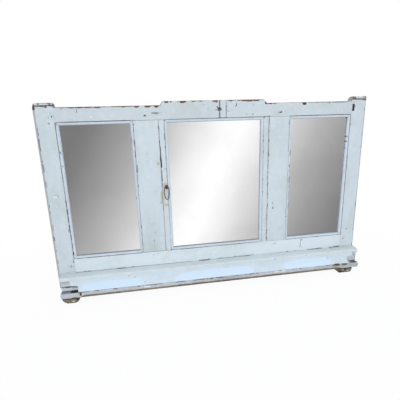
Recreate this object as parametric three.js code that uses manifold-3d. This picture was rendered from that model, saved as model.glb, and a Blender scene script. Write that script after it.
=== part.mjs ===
// Painted pine overmantel mirror: three mirror panes in a jointed frame that stands
// on a moulded base. Millimetres, +Z up, the front faces -Y, +X is the viewer's right.
// The frame's front face is the plane y = 0 while the pieces are built. The whole
// assembly is then moved so that the origin is the middle of the footprint.

import * as THREE from "three";
import { mergeVertices } from "three/addons/utils/BufferGeometryUtils.js";
import Module from "manifold-3d";

const wasm = await Module();
wasm.setup();

// ---------------------------------------------------------------- driving dimensions

// Frame members
const frameHalfWidth = 717; // middle of the frame to a stile's outer side
const frameThickness = 32;
const stileWidth = 79.5;
const stileChamfer = 12; // on the outer front arris
const leftPostWidth = 103.5;
const rightPostWidth = 97;
const stripWidth = 25; // filler strip between a post and the middle pane
const stripThickness = 28;
const middleHalfOpening = 216; // middle of the wide pane to a filler strip's inner edge
const fieldShift = 6; // the wide pane, raised rail and base lie this far right of the frame's middle
const openingHeight = 579;
const topRailHeight = 58;
const railRise = 15.5; // raised middle part of the top rail
const railRiseHalfLength = 215.5; // half of the raised part's top edge
const railShoulderRun = 15; // how far each sloping shoulder runs along the rail
const leftHornRise = 18; // a stile's top above the top rail
const rightHornRise = 21.5;
const hornFrontRounding = 9; // worn rounding of a horn's front edge
const hornBackFall = 17; // how far a horn's top curves down towards its back
const leftHornOuterCorner = 15;
const rightHornOuterCorner = 5;
const leftHornInnerCorner = 6;
const rightHornInnerCorner = 9;
const bottomRailShow = 66; // visible height of the bottom rail

// Joints of the frame
const tenonThickness = 10;
const railTenonLength = 50;
const topTenonWidth = 38;
const bottomTenonWidth = 96;
const postTenonWidth = 60;
const postTenonLength = 26;
const pegRadius = 4.5;
const pegLength = 24;
const pegSpacing = 20; // between a top corner's two pegs
const bottomPegSpacing = 58;

// The piece let into the top rail
const patchWidth = 29;
const patchOffset = 34.2; // its middle, right of the raised part's middle
const patchDepth = 9;

// Glazing
const beadWidth = 11.5;
const beadDepth = 9.5;
const beadSetback = 1.2; // a bead's face behind the frame's face
const glassThickness = 4;
const backboardThickness = 8;
const filletWidth = 12;
const filletDepth = 7;

// Base
const baseInset = 11; // the base's end, in from a stile's outer side
const baseHalfLength = frameHalfWidth - baseInset;
const baseProjection = 50; // the base board's nose in front of the frame
const mouldingHeight = 72; // from the base board to the top of the shelf nose
const shelfNoseThickness = 24;
const shelfNoseProjection = 38;
const shelfFall = 4; // the shelf's top drops this much towards its nose
const boardThickness = 26;
const boardNoseRadius = 9;
const footHeight = 24;
const footWidth = 76;
const leftFootInset = 2; // its outer side from the base board's end
const rightFootInset = 27;
const footSetback = 6; // a foot's front behind the board's nose
const leftFootUndercut = 21; // how far a foot's two ends curve in at the floor
const rightFootUndercut = 8;

// Mouldings under the shelf nose at the two ends
const endBlockLength = 82;
const endBeadProjection = 29;
const endBeadHeight = 17;
const quirkDepth = 14; // groove under the bead, cut in from the bead's face
const quirkHeight = 4;
const bandProjection = 27;
const bandHeight = 20.5;
const slotProjection = 9; // what is left in the slot over the base board

// Apron between the ends
const apronTopProjection = 38;
const apronFootProjection = 45;
const apronCoveDepth = 4; // how far its hollow lies behind a straight slope
const apronUpperInset = 41; // its upper end, in from the base's end
const apronNotchInset = 67; // the deepest point of its scooped end
const apronLowerInset = 56; // its lower end

// Ring pull
const ringHalfWidth = 9.8; // to the middle of the rod
const ringDrop = 54; // hinge axis to the middle of the rod at the bottom
const ringRod = 1.8; // radius
const ringEyeRadius = 6;
const ringEyeLength = 7;
const ringPinClearance = 0.5;
const ringStandoff = 7; // hinge axis in front of the strip's face
const ringEdgeDistance = 6.5; // hinge middle from the strip's inner edge
const ringHeight = 295; // hinge axis above the opening's lower edge
const ringPlateThickness = 1.8;
const ringPlateHalfHeight = 10;

// Clearances
const fit = 0.3; // between pieces that touch
const glassPlay = 1.5; // around a pane or a backboard in its opening
const pegFit = 0.2;
const curveSteps = 6;

// ---------------------------------------------------------------- derived levels

const boardTop = footHeight + boardThickness;
const shelfTop = boardTop + mouldingHeight;
const openingFoot = shelfTop + bottomRailShow;
const openingTop = openingFoot + openingHeight;
const railTop = openingTop + topRailHeight;
const hornTop = (side) => railTop + (side < 0 ? leftHornRise : rightHornRise);
const stileInner = frameHalfWidth - stileWidth;
const stripInner = (side) => fieldShift + side * middleHalfOpening;
const postInner = (side) => stripInner(side) + side * stripWidth;
const postOuter = (side) => postInner(side) + side * (side < 0 ? leftPostWidth : rightPostWidth);
const stripSetback = beadSetback / 2;
const beadBack = beadSetback + beadDepth;
const glassFront = beadBack + fit;
const boardFront = glassFront + glassThickness + fit;
const filletFront = boardFront + backboardThickness + fit;
const tenonFront = (frameThickness - tenonThickness) / 2;
const noseBottom = shelfTop - shelfNoseThickness;

// ---------------------------------------------------------------- materials

const paint = new THREE.MeshStandardMaterial({ color: 0xc9d5dd, roughness: 0.55, metalness: 0 });
const beadPaint = new THREE.MeshStandardMaterial({ color: 0xc4d8e8, roughness: 0.5, metalness: 0 });
const bareWood = new THREE.MeshStandardMaterial({ color: 0x8a6a4e, roughness: 0.8, metalness: 0 });
const mirror = new THREE.MeshStandardMaterial({ color: 0xe6eaec, roughness: 0.03, metalness: 1 });
const iron = new THREE.MeshStandardMaterial({ color: 0x4a3a33, roughness: 0.6, metalness: 0.8 });

// ---------------------------------------------------------------- helpers

// A three.js geometry as a manifold solid, for cutting and joining.
function toSolid(geometry) {
  const plain = geometry.clone();
  plain.deleteAttribute("normal");
  plain.deleteAttribute("uv");
  const merged = mergeVertices(plain, 1e-4);
  return new wasm.Manifold(new wasm.Mesh({
    numProp: 3,
    vertProperties: new Float32Array(merged.attributes.position.array),
    triVerts: new Uint32Array(merged.index.array),
  }));
}

// A manifold solid as a three.js geometry.
function toGeometry(solid) {
  const mesh = solid.getMesh();
  const geometry = new THREE.BufferGeometry();
  geometry.setAttribute("position", new THREE.BufferAttribute(new Float32Array(mesh.vertProperties), 3));
  geometry.setIndex(new THREE.BufferAttribute(new Uint32Array(mesh.triVerts), 1));
  geometry.computeVertexNormals();
  return geometry;
}

// Cuts every tool out of a geometry.
function cut(geometry, tools) {
  const body = tools.reduce((solid, tool) => solid.subtract(toSolid(tool)), toSolid(geometry));
  return toGeometry(body);
}

function keep(geometry, tool) {
  return toGeometry(toSolid(geometry).intersect(toSolid(tool)));
}

// Joins geometries that overlap into one body.
function join(geometries) {
  const [first, ...others] = geometries.map(toSolid);
  return toGeometry(others.reduce((solid, other) => solid.add(other), first));
}

// A box from its low corner to its high corner.
function block(low, high) {
  const size = high.map((value, axis) => value - low[axis]);
  const box = new THREE.BoxGeometry(...size);
  return box.translate(...low.map((value, axis) => value + size[axis] / 2));
}

// A front outline in x and z, made solid from y = front to y = back.
function frontPrism(shape, front, back) {
  const settings = { depth: back - front, bevelEnabled: false, curveSegments: curveSteps };
  const solid = new THREE.ExtrudeGeometry(shape, settings);
  return solid.rotateX(Math.PI / 2).translate(0, back, 0);
}

// A side profile in y and z, run along x from one end to the other.
function sidePrism(shape, start, end) {
  const settings = { depth: end - start, bevelEnabled: false, curveSegments: curveSteps };
  const solid = new THREE.ExtrudeGeometry(shape, settings);
  const turn = new THREE.Matrix4().makeBasis(
    new THREE.Vector3(0, 1, 0),
    new THREE.Vector3(0, 0, 1),
    new THREE.Vector3(1, 0, 0),
  );
  return solid.applyMatrix4(turn).translate(start, 0, 0);
}

// A plan outline in x and y, raised from z = low to z = high.
function planPrism(shape, low, high) {
  const settings = { depth: high - low, bevelEnabled: false, curveSegments: curveSteps };
  const solid = new THREE.ExtrudeGeometry(shape, settings);
  return solid.translate(0, 0, low);
}

function polygon(points) {
  return new THREE.Shape(points.map(([u, v]) => new THREE.Vector2(u, v)));
}

const assembly = new THREE.Group();
const sides = [["left", -1], ["right", 1]];

// Adds one named piece to the assembly.
function addPiece(name, geometry, material, position = [0, 0, 0], turnAboutY = 0) {
  const mesh = new THREE.Mesh(geometry, material);
  mesh.name = name;
  mesh.position.set(...position);
  mesh.rotation.y = turnAboutY;
  assembly.add(mesh);
  return mesh;
}

// ---------------------------------------------------------------- pegs and tenons

const pegX = stileInner + railTenonLength / 2;
const topPegMiddle = openingTop + topRailHeight / 2;
const bottomTenonMiddle = (boardTop + openingFoot) / 2;
const pegHeights = [
  topPegMiddle - pegSpacing / 2,
  topPegMiddle + pegSpacing / 2,
  bottomTenonMiddle - bottomPegSpacing / 2,
  bottomTenonMiddle + bottomPegSpacing / 2,
];

// A round bar along y, from the frame's face inwards.
function pegBar(x, z, radius, front, back) {
  const bar = new THREE.CylinderGeometry(radius, radius, back - front, 16);
  return bar.translate(x, (front + back) / 2, z);
}

function pegHoles(side) {
  const radius = pegRadius + pegFit;
  return pegHeights.map((z) => pegBar(side * pegX, z, radius, -1, pegLength + pegFit));
}

// A tenon along x at one end of a rail, or its mortice when grown by a clearance.
function railTenon(side, middle, width, grow) {
  const inner = stileInner - 1;
  const outer = stileInner + railTenonLength + grow;
  const xs = [side * inner, side * outer].sort((a, b) => a - b);
  return block(
    [xs[0], tenonFront - grow, middle - width / 2 - grow],
    [xs[1], tenonFront + tenonThickness + grow, middle + width / 2 + grow],
  );
}

// A post's tenon along z, or its mortice when grown by a clearance.
function postTenon(side, from, to, grow) {
  const middle = (postInner(side) + postOuter(side)) / 2;
  return block(
    [middle - postTenonWidth / 2 - grow, tenonFront - grow, from - grow],
    [middle + postTenonWidth / 2 + grow, tenonFront + tenonThickness + grow, to + grow],
  );
}

// ---------------------------------------------------------------- stiles

// Front outline of a stile with the worn corners of its horn.
function stileOutline(side) {
  const outer = side * frameHalfWidth;
  const inner = side * (stileInner + fit);
  const outerCorner = side < 0 ? leftHornOuterCorner : rightHornOuterCorner;
  const innerCorner = side < 0 ? leftHornInnerCorner : rightHornInnerCorner;
  const top = hornTop(side);
  const shape = new THREE.Shape();
  shape.moveTo(outer, boardTop + fit);
  shape.lineTo(outer, top - 1.3 * outerCorner);
  shape.quadraticCurveTo(outer - side * 0.35 * outerCorner, top, outer - side * outerCorner, top);
  shape.lineTo(inner + side * innerCorner, top);
  shape.quadraticCurveTo(inner, top, inner, top - 1.6 * innerCorner);
  shape.lineTo(inner, boardTop + fit);
  shape.closePath();
  return shape;
}

// Side profile of a stile: its top is eased at the front and curves down towards the back.
function hornProfile(side) {
  const top = hornTop(side);
  const shape = new THREE.Shape();
  shape.moveTo(0, boardTop);
  shape.lineTo(frameThickness, boardTop);
  shape.lineTo(frameThickness, top - hornBackFall);
  shape.quadraticCurveTo(0.88 * frameThickness, top, 0.4 * frameThickness, top);
  shape.lineTo(1.1 * hornFrontRounding, top);
  shape.quadraticCurveTo(0.1 * hornFrontRounding, top - 1, 0, top - hornFrontRounding);
  shape.closePath();
  return shape;
}

function stile(side) {
  const outer = side * frameHalfWidth;
  const outline = frontPrism(stileOutline(side), 0, frameThickness);
  const profile = hornProfile(side);
  const rounded = keep(outline, sidePrism(profile, -frameHalfWidth - 1, frameHalfWidth + 1));
  const chamfer = planPrism(polygon([
    [outer + side, -1],
    [outer - side * (stileChamfer + 1), -1],
    [outer + side, stileChamfer + 1],
  ]), boardTop - 1, hornTop(side) + 1);
  return cut(rounded, [
    chamfer,
    railTenon(side, topPegMiddle, topTenonWidth, fit),
    railTenon(side, bottomTenonMiddle, bottomTenonWidth, fit),
    ...pegHoles(side),
  ]);
}

for (const [name, side] of sides) {
  addPiece(`${name}_stile`, stile(side), paint);
}

// ---------------------------------------------------------------- rails

function topRailOutline() {
  const rise = railTop + railRise;
  const foot = railRiseHalfLength + railShoulderRun;
  return polygon([
    [-stileInner, openingTop],
    [stileInner, openingTop],
    [stileInner, railTop],
    [fieldShift + foot, railTop],
    [fieldShift + railRiseHalfLength, rise],
    [fieldShift - railRiseHalfLength, rise],
    [fieldShift - foot, railTop],
    [-stileInner, railTop],
  ]);
}

function patchBlock(grow) {
  const half = patchWidth / 2 + grow;
  const middle = fieldShift + patchOffset;
  const top = railTop + railRise;
  return block(
    [middle - half, -grow, openingTop - grow],
    [middle + half, patchDepth + grow, top + grow],
  );
}

const topRail = join([
  frontPrism(topRailOutline(), 0, frameThickness),
  ...sides.map(([, side]) => railTenon(side, topPegMiddle, topTenonWidth, 0)),
]);
addPiece("top_rail", cut(topRail, [
  patchBlock(fit),
  ...sides.map(([, side]) => postTenon(side, openingTop - 1, openingTop + postTenonLength, fit)),
  ...sides.flatMap(([, side]) => pegHoles(side)),
]), paint);
addPiece("top_rail_patch", patchBlock(0), paint);

const bottomRail = join([
  block([-stileInner, 0, boardTop + fit], [stileInner, frameThickness, openingFoot]),
  ...sides.map(([, side]) => railTenon(side, bottomTenonMiddle, bottomTenonWidth, 0)),
]);
addPiece("bottom_rail", cut(bottomRail, [
  ...sides.map(([, side]) => postTenon(side, openingFoot - postTenonLength, openingFoot + 1, fit)),
  ...sides.flatMap(([, side]) => pegHoles(side)),
]), paint);

for (const [name, side] of sides) {
  pegHeights.forEach((z, index) => {
    addPiece(`${name}_peg_${index + 1}`, pegBar(0, 0, pegRadius, 0, pegLength), paint, [side * pegX, 0, z]);
  });
}

// ---------------------------------------------------------------- posts and strips

for (const [name, side] of sides) {
  const edges = [postInner(side) + side * fit, postOuter(side) - side * fit].sort((a, b) => a - b);
  const shaft = block(
    [edges[0], 0, openingFoot + fit],
    [edges[1], frameThickness, openingTop - fit],
  );
  addPiece(`${name}_post`, join([
    shaft,
    postTenon(side, openingFoot - postTenonLength, openingFoot + 1, 0),
    postTenon(side, openingTop - 1, openingTop + postTenonLength, 0),
  ]), paint);

  const stripEdges = [stripInner(side), postInner(side) - side * fit].sort((a, b) => a - b);
  addPiece(`${name}_filler_strip`, block(
    [stripEdges[0], stripSetback, openingFoot + fit],
    [stripEdges[1], stripSetback + stripThickness, openingTop - fit],
  ), paint);
}

// ---------------------------------------------------------------- glazing

const openings = [
  ["left", (postOuter(-1) - stileInner) / 2, postOuter(-1) + stileInner],
  ["middle", fieldShift, 2 * middleHalfOpening],
  ["right", (stileInner + postOuter(1)) / 2, stileInner - postOuter(1)],
];

// Section of a glazing bead: u runs from the frame towards the pane. The face is a
// flat fillet and then a quarter hollow that falls to the glass.
function beadSection() {
  const flat = beadWidth * 0.25;
  const lip = beadDepth * 0.28;
  const shape = new THREE.Shape();
  shape.moveTo(beadSetback, fit);
  shape.lineTo(beadSetback, flat);
  shape.quadraticCurveTo(beadSetback + 0.25 * beadDepth, beadWidth, beadBack - lip, beadWidth);
  shape.lineTo(beadBack, beadWidth);
  shape.lineTo(beadBack, fit);
  shape.closePath();
  return shape;
}

// Side profile of a fillet that holds a backboard in from behind.
function filletSection() {
  return polygon([
    [filletFront, fit],
    [filletFront, filletWidth - 3],
    [filletFront + 3, filletWidth],
    [filletFront + filletDepth, filletWidth],
    [filletFront + filletDepth, fit],
  ]);
}

// A bar with mitred ends that lies on one side of an opening.
function mitredBar(section, width, length) {
  const half = length / 2 - fit;
  const bar = sidePrism(section, -half, half);
  const mitre = polygon([
    [-half, 0],
    [half, 0],
    [half - width - 1, width + 1],
    [-half + width + 1, width + 1],
  ]);
  return keep(bar, frontPrism(mitre, -1, frameThickness + 1));
}

// The four bars round an opening, each turned about the y axis to its side.
function surround(opening, width, suffix, section, barWidth, material) {
  const [name, middle] = opening;
  const height = openingTop - openingFoot;
  const centre = (openingTop + openingFoot) / 2;
  const places = [
    ["bottom", width, [middle, 0, openingFoot], 0],
    ["top", width, [middle, 0, openingTop], Math.PI],
    ["left", height, [middle - width / 2, 0, centre], Math.PI / 2],
    ["right", height, [middle + width / 2, 0, centre], -Math.PI / 2],
  ];
  for (const [place, length, position, turn] of places) {
    const bar = mitredBar(section, barWidth, length);
    addPiece(`${name}_pane_${place}_${suffix}`, bar, material, position, turn);
  }
}

for (const opening of openings) {
  const [name, middle, width] = opening;
  const half = width / 2 - glassPlay;
  const low = openingFoot + glassPlay;
  const high = openingTop - glassPlay;
  surround(opening, width, "bead", beadSection(), beadWidth, beadPaint);
  addPiece(`${name}_mirror`, block(
    [middle - half, glassFront, low],
    [middle + half, glassFront + glassThickness, high],
  ), mirror);
  addPiece(`${name}_backboard`, block(
    [middle - half, boardFront, low],
    [middle + half, boardFront + backboardThickness, high],
  ), bareWood);
  surround(opening, width, "fillet", filletSection(), filletWidth, bareWood);
}

// ---------------------------------------------------------------- base

const baseMiddle = [fieldShift, 0, 0];

// Shelf nose: a top that falls slightly forward and a rounded front.
function shelfNoseSection(grow) {
  const front = -shelfNoseProjection - grow;
  const foot = noseBottom - grow;
  const shape = new THREE.Shape();
  shape.moveTo(-fit, shelfTop);
  shape.lineTo(0.62 * front, shelfTop - shelfFall);
  shape.quadraticCurveTo(front, shelfTop - shelfFall, front, shelfTop - 0.55 * shelfNoseThickness);
  shape.quadraticCurveTo(front, foot, 0.8 * front, foot);
  shape.lineTo(-fit, foot);
  shape.closePath();
  return shape;
}
const noseBar = sidePrism(shelfNoseSection(0), -baseHalfLength, baseHalfLength);
addPiece("shelf_nose_moulding", noseBar, paint, baseMiddle);

// End block: bead, quirk, flat band and slot, from the shelf nose down to the board.
function endBlockSection() {
  const top = noseBottom - fit;
  const beadFoot = top - 3 - endBeadHeight;
  const quirkFoot = beadFoot - quirkHeight;
  const bandFoot = quirkFoot - bandHeight;
  const beadRoot = -(endBeadProjection - endBeadHeight / 2);
  const shape = new THREE.Shape();
  shape.moveTo(-fit, top);
  shape.lineTo(beadRoot, top);
  shape.lineTo(beadRoot, beadFoot + endBeadHeight);
  shape.absarc(beadRoot, beadFoot + endBeadHeight / 2, endBeadHeight / 2, Math.PI / 2, 1.5 * Math.PI, false);
  shape.lineTo(-(endBeadProjection - quirkDepth) + 1, beadFoot);
  shape.lineTo(-(endBeadProjection - quirkDepth) + 1, quirkFoot);
  shape.lineTo(-bandProjection, quirkFoot);
  shape.lineTo(-bandProjection, bandFoot);
  shape.lineTo(-slotProjection, bandFoot - 1.5);
  shape.lineTo(-slotProjection, boardTop + fit);
  shape.lineTo(-fit, boardTop + fit);
  shape.closePath();
  return shape;
}

for (const [name, side] of sides) {
  const ends = [side * (baseHalfLength - endBlockLength), side * baseHalfLength].sort((a, b) => a - b);
  addPiece(`${name}_end_block`, sidePrism(endBlockSection(), ends[0], ends[1]), paint, baseMiddle);
}

// Apron: a hollowed front between the shelf nose and the base board. Its upper edge is
// scribed to the underside of the nose, so that the two faces run on into each other.
function apronSection() {
  const top = shelfTop - 0.6 * shelfNoseThickness;
  const foot = boardTop + fit;
  const shape = new THREE.Shape();
  shape.moveTo(-fit, top);
  shape.lineTo(-apronTopProjection, top);
  shape.quadraticCurveTo(
    -(apronTopProjection + apronFootProjection) / 2 + apronCoveDepth,
    foot + 0.3 * (top - foot),
    -apronFootProjection,
    foot,
  );
  shape.lineTo(-fit, foot);
  shape.closePath();
  return shape;
}

// Waste beyond the apron's scooped end, as a front outline.
function apronEndWaste(side) {
  const upper = side * (baseHalfLength - apronUpperInset);
  const deep = side * (baseHalfLength - apronNotchInset);
  const lower = side * (baseHalfLength - apronLowerInset);
  const top = noseBottom;
  const height = noseBottom - boardTop;
  const beyond = side * (baseHalfLength + 1);
  const shape = new THREE.Shape();
  shape.moveTo(upper, shelfTop);
  shape.lineTo(upper, top - 0.12 * height);
  shape.quadraticCurveTo(upper - side * 3, top - 0.45 * height, deep, top - 0.52 * height);
  shape.lineTo(deep, top - 0.72 * height);
  shape.quadraticCurveTo(deep, top - 0.92 * height, lower, boardTop - 1);
  shape.lineTo(beyond, boardTop - 1);
  shape.lineTo(beyond, shelfTop);
  shape.closePath();
  return shape;
}

const apronHalf = baseHalfLength - apronUpperInset;
const apronBar = sidePrism(apronSection(), -apronHalf, apronHalf);
const blockHousing = sides.map(([, side]) => {
  const xs = [side * (baseHalfLength - endBlockLength - fit), side * (baseHalfLength + 1)];
  xs.sort((a, b) => a - b);
  return block([xs[0], -endBeadProjection - fit, boardTop - 1], [xs[1], 1, noseBottom + 1]);
});
addPiece("apron", cut(apronBar, [
  sidePrism(shelfNoseSection(fit), -baseHalfLength - 1, baseHalfLength + 1),
  ...blockHousing,
  ...sides.map(([, side]) => frontPrism(apronEndWaste(side), -baseProjection - 1, 1)),
]), paint, baseMiddle);

// Base board with a rounded nose.
function boardSection() {
  const front = -baseProjection;
  const shape = new THREE.Shape();
  shape.moveTo(frameThickness, footHeight);
  shape.lineTo(front + boardNoseRadius, footHeight);
  shape.quadraticCurveTo(front, footHeight, front, footHeight + boardNoseRadius);
  shape.lineTo(front, boardTop - boardNoseRadius);
  shape.quadraticCurveTo(front, boardTop, front + boardNoseRadius, boardTop);
  shape.lineTo(frameThickness, boardTop);
  shape.closePath();
  return shape;
}
addPiece("base_board", sidePrism(boardSection(), -baseHalfLength, baseHalfLength), paint, baseMiddle);

// Foot: a flat block whose two ends curve in towards the floor, the left one's more.
function footOutline(side) {
  const outer = side * footWidth / 2;
  const inner = -outer;
  const top = footHeight - fit;
  const undercut = side * (side < 0 ? leftFootUndercut : rightFootUndercut);
  const shape = new THREE.Shape();
  shape.moveTo(inner + undercut, 0);
  shape.quadraticCurveTo(inner + 0.2 * undercut, 0.3 * top, inner, top);
  shape.lineTo(outer, top);
  shape.quadraticCurveTo(outer - 0.2 * undercut, 0.3 * top, outer - undercut, 0);
  shape.closePath();
  return shape;
}

for (const [name, side] of sides) {
  const inset = side < 0 ? leftFootInset : rightFootInset;
  const middle = fieldShift + side * (baseHalfLength - inset - footWidth / 2);
  const foot = frontPrism(footOutline(side), -baseProjection + footSetback, frameThickness);
  addPiece(`${name}_foot`, foot, bareWood, [middle, 0, 0]);
}

// ---------------------------------------------------------------- ring pull

const stripFace = stripSetback;
const ringAxisY = stripFace - ringStandoff;
const ringX = stripInner(-1) - ringEdgeDistance;
const ringZ = openingFoot + ringHeight;

// Rod's middle line: straight across the top, round the two long sides to the foot.
function ringPath() {
  const w = ringHalfWidth;
  const path = new THREE.CurvePath();
  const point = (x, z) => new THREE.Vector3(x, 0, z);
  const corner = 0.5 * w;
  path.add(new THREE.LineCurve3(point(-w + corner, 0), point(w - corner, 0)));
  path.add(new THREE.QuadraticBezierCurve3(point(w - corner, 0), point(w, 0), point(w, -corner)));
  path.add(new THREE.CubicBezierCurve3(
    point(w, -corner), point(w + 1.2, -0.55 * ringDrop), point(w, -ringDrop), point(0, -ringDrop)));
  path.add(new THREE.CubicBezierCurve3(
    point(0, -ringDrop), point(-w, -ringDrop), point(-w - 1.2, -0.55 * ringDrop), point(-w, -corner)));
  path.add(new THREE.QuadraticBezierCurve3(point(-w, -corner), point(-w, 0), point(-w + corner, 0)));
  return path;
}

// Bends a ring of round rod so that its middle line follows the path.
function dropRing() {
  const steps = 48;
  const rodSides = 10;
  const ring = new THREE.TorusGeometry(1, 0.5, rodSides, steps);
  const path = ringPath();
  const position = ring.attributes.position;
  const vertex = new THREE.Vector3();
  for (let index = 0; index < position.count; index += 1) {
    const step = index % (steps + 1);
    const ringIndex = Math.floor(index / (steps + 1));
    const around = (2 * Math.PI * ringIndex) / rodSides;
    const share = (step % steps) / steps;
    const tangent = path.getTangentAt(share);
    const outward = new THREE.Vector3(-tangent.z, 0, tangent.x);
    vertex.copy(path.getPointAt(share));
    vertex.addScaledVector(outward, ringRod * Math.cos(around));
    vertex.y += ringRod * Math.sin(around);
    position.setXYZ(index, vertex.x, vertex.y, vertex.z);
  }
  return ring;
}

// Staple: an oval plate on the strip with an eye that the ring's top bar turns in.
function ringStaple() {
  const plateShape = new THREE.Shape();
  plateShape.absellipse(0, 0, ringEyeRadius, ringPlateHalfHeight, 0, 2 * Math.PI, false, 0);
  const plateBack = ringStandoff - fit;
  const plate = frontPrism(plateShape, plateBack - ringPlateThickness, plateBack);
  const barrel = new THREE.CylinderGeometry(ringEyeRadius, ringEyeRadius, ringEyeLength, 20);
  barrel.rotateZ(Math.PI / 2);
  const neck = block(
    [-ringEyeLength / 2, 0, -0.6 * ringEyeRadius],
    [ringEyeLength / 2, plateBack - 0.5 * ringPlateThickness, 0.6 * ringEyeRadius],
  );
  const bore = ringRod + ringPinClearance;
  const hole = new THREE.CylinderGeometry(bore, bore, 3 * ringEyeLength, 20).rotateZ(Math.PI / 2);
  return cut(join([plate, barrel, neck]), [hole]);
}

addPiece("ring_staple", ringStaple(), iron, [ringX, ringAxisY, ringZ]);
addPiece("drop_ring", dropRing(), iron, [ringX, ringAxisY, ringZ]);

// ---------------------------------------------------------------- origin

// The footprint runs from the base board's nose to the frame's back.
assembly.position.y = (baseProjection - frameThickness) / 2;

export default assembly;
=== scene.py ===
# %% [markdown]
# # An overmantel mirror in worn, painted pine
#
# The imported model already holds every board, bead and pane at its true place. This lesson gives
# them what years of use gave the real mirror: rubbed arrises, chips that show the wood, nail
# holes, cracks, layers of paint, rust round the iron ring, and silvered glass.

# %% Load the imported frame
import math
import random

import bmesh
import bpy
from mathutils import Matrix, Vector


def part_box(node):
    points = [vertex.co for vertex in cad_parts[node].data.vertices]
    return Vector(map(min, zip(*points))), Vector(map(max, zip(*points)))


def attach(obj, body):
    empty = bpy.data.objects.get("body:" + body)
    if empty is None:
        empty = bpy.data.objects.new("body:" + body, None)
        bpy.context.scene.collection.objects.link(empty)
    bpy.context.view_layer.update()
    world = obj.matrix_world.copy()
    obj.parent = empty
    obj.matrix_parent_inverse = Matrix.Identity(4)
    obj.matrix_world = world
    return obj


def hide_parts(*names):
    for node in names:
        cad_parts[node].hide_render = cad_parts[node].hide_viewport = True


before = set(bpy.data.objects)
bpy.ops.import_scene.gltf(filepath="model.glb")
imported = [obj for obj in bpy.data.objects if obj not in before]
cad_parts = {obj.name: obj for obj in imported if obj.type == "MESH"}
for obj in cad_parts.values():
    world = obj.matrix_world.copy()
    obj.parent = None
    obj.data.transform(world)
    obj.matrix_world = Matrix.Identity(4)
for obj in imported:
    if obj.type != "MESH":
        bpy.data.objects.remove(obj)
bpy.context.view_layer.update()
scene = bpy.context.scene

# %% [markdown]
# ## Camera
#
# The photographer stood a little left of the middle, looked slightly to the right and down, and
# held the camera with a small tilt. A camera's own axes are right, up and backwards, so the
# three turns are built into those axes and written straight into its matrix.

# %% Camera
CAMERA_PLACE = Vector((-0.2753, -1.2946, 0.741))
CAMERA_YAW = math.radians(8.93)
CAMERA_PITCH = math.radians(13.89)
CAMERA_ROLL = math.radians(-1.79)
SENSOR_WIDTH = 36.0
LENS = 27.256


def camera_axes():
    """The camera's own directions: right, up and forward."""
    forward = Vector((
        math.sin(CAMERA_YAW) * math.cos(CAMERA_PITCH),
        math.cos(CAMERA_YAW) * math.cos(CAMERA_PITCH),
        -math.sin(CAMERA_PITCH),
    ))
    level = Vector((math.cos(CAMERA_YAW), -math.sin(CAMERA_YAW), 0.0))
    upright = level.cross(forward)
    right = math.cos(CAMERA_ROLL) * level + math.sin(CAMERA_ROLL) * upright
    up = -math.sin(CAMERA_ROLL) * level + math.cos(CAMERA_ROLL) * upright
    return right, up, forward


def make_camera():
    """Adds the camera and makes it the scene's own."""
    right, up, forward = camera_axes()
    data = bpy.data.cameras.new("camera")
    data.sensor_width = SENSOR_WIDTH
    data.lens = LENS
    camera = bpy.data.objects.new("camera", data)
    scene.collection.objects.link(camera)
    turn = Matrix((right, up, -forward)).transposed().to_4x4()
    camera.matrix_world = Matrix.Translation(CAMERA_PLACE) @ turn
    scene.camera = camera
    return camera


camera = make_camera()
print("camera at", tuple(camera.location))

# %% [markdown]
# ## Working with nodes
#
# A material is a small tree of nodes. This helper keeps the lines short: each call adds one
# node, joins it to what came before, and hands back its result. A value may be a plain number
# or the output of another node.

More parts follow.
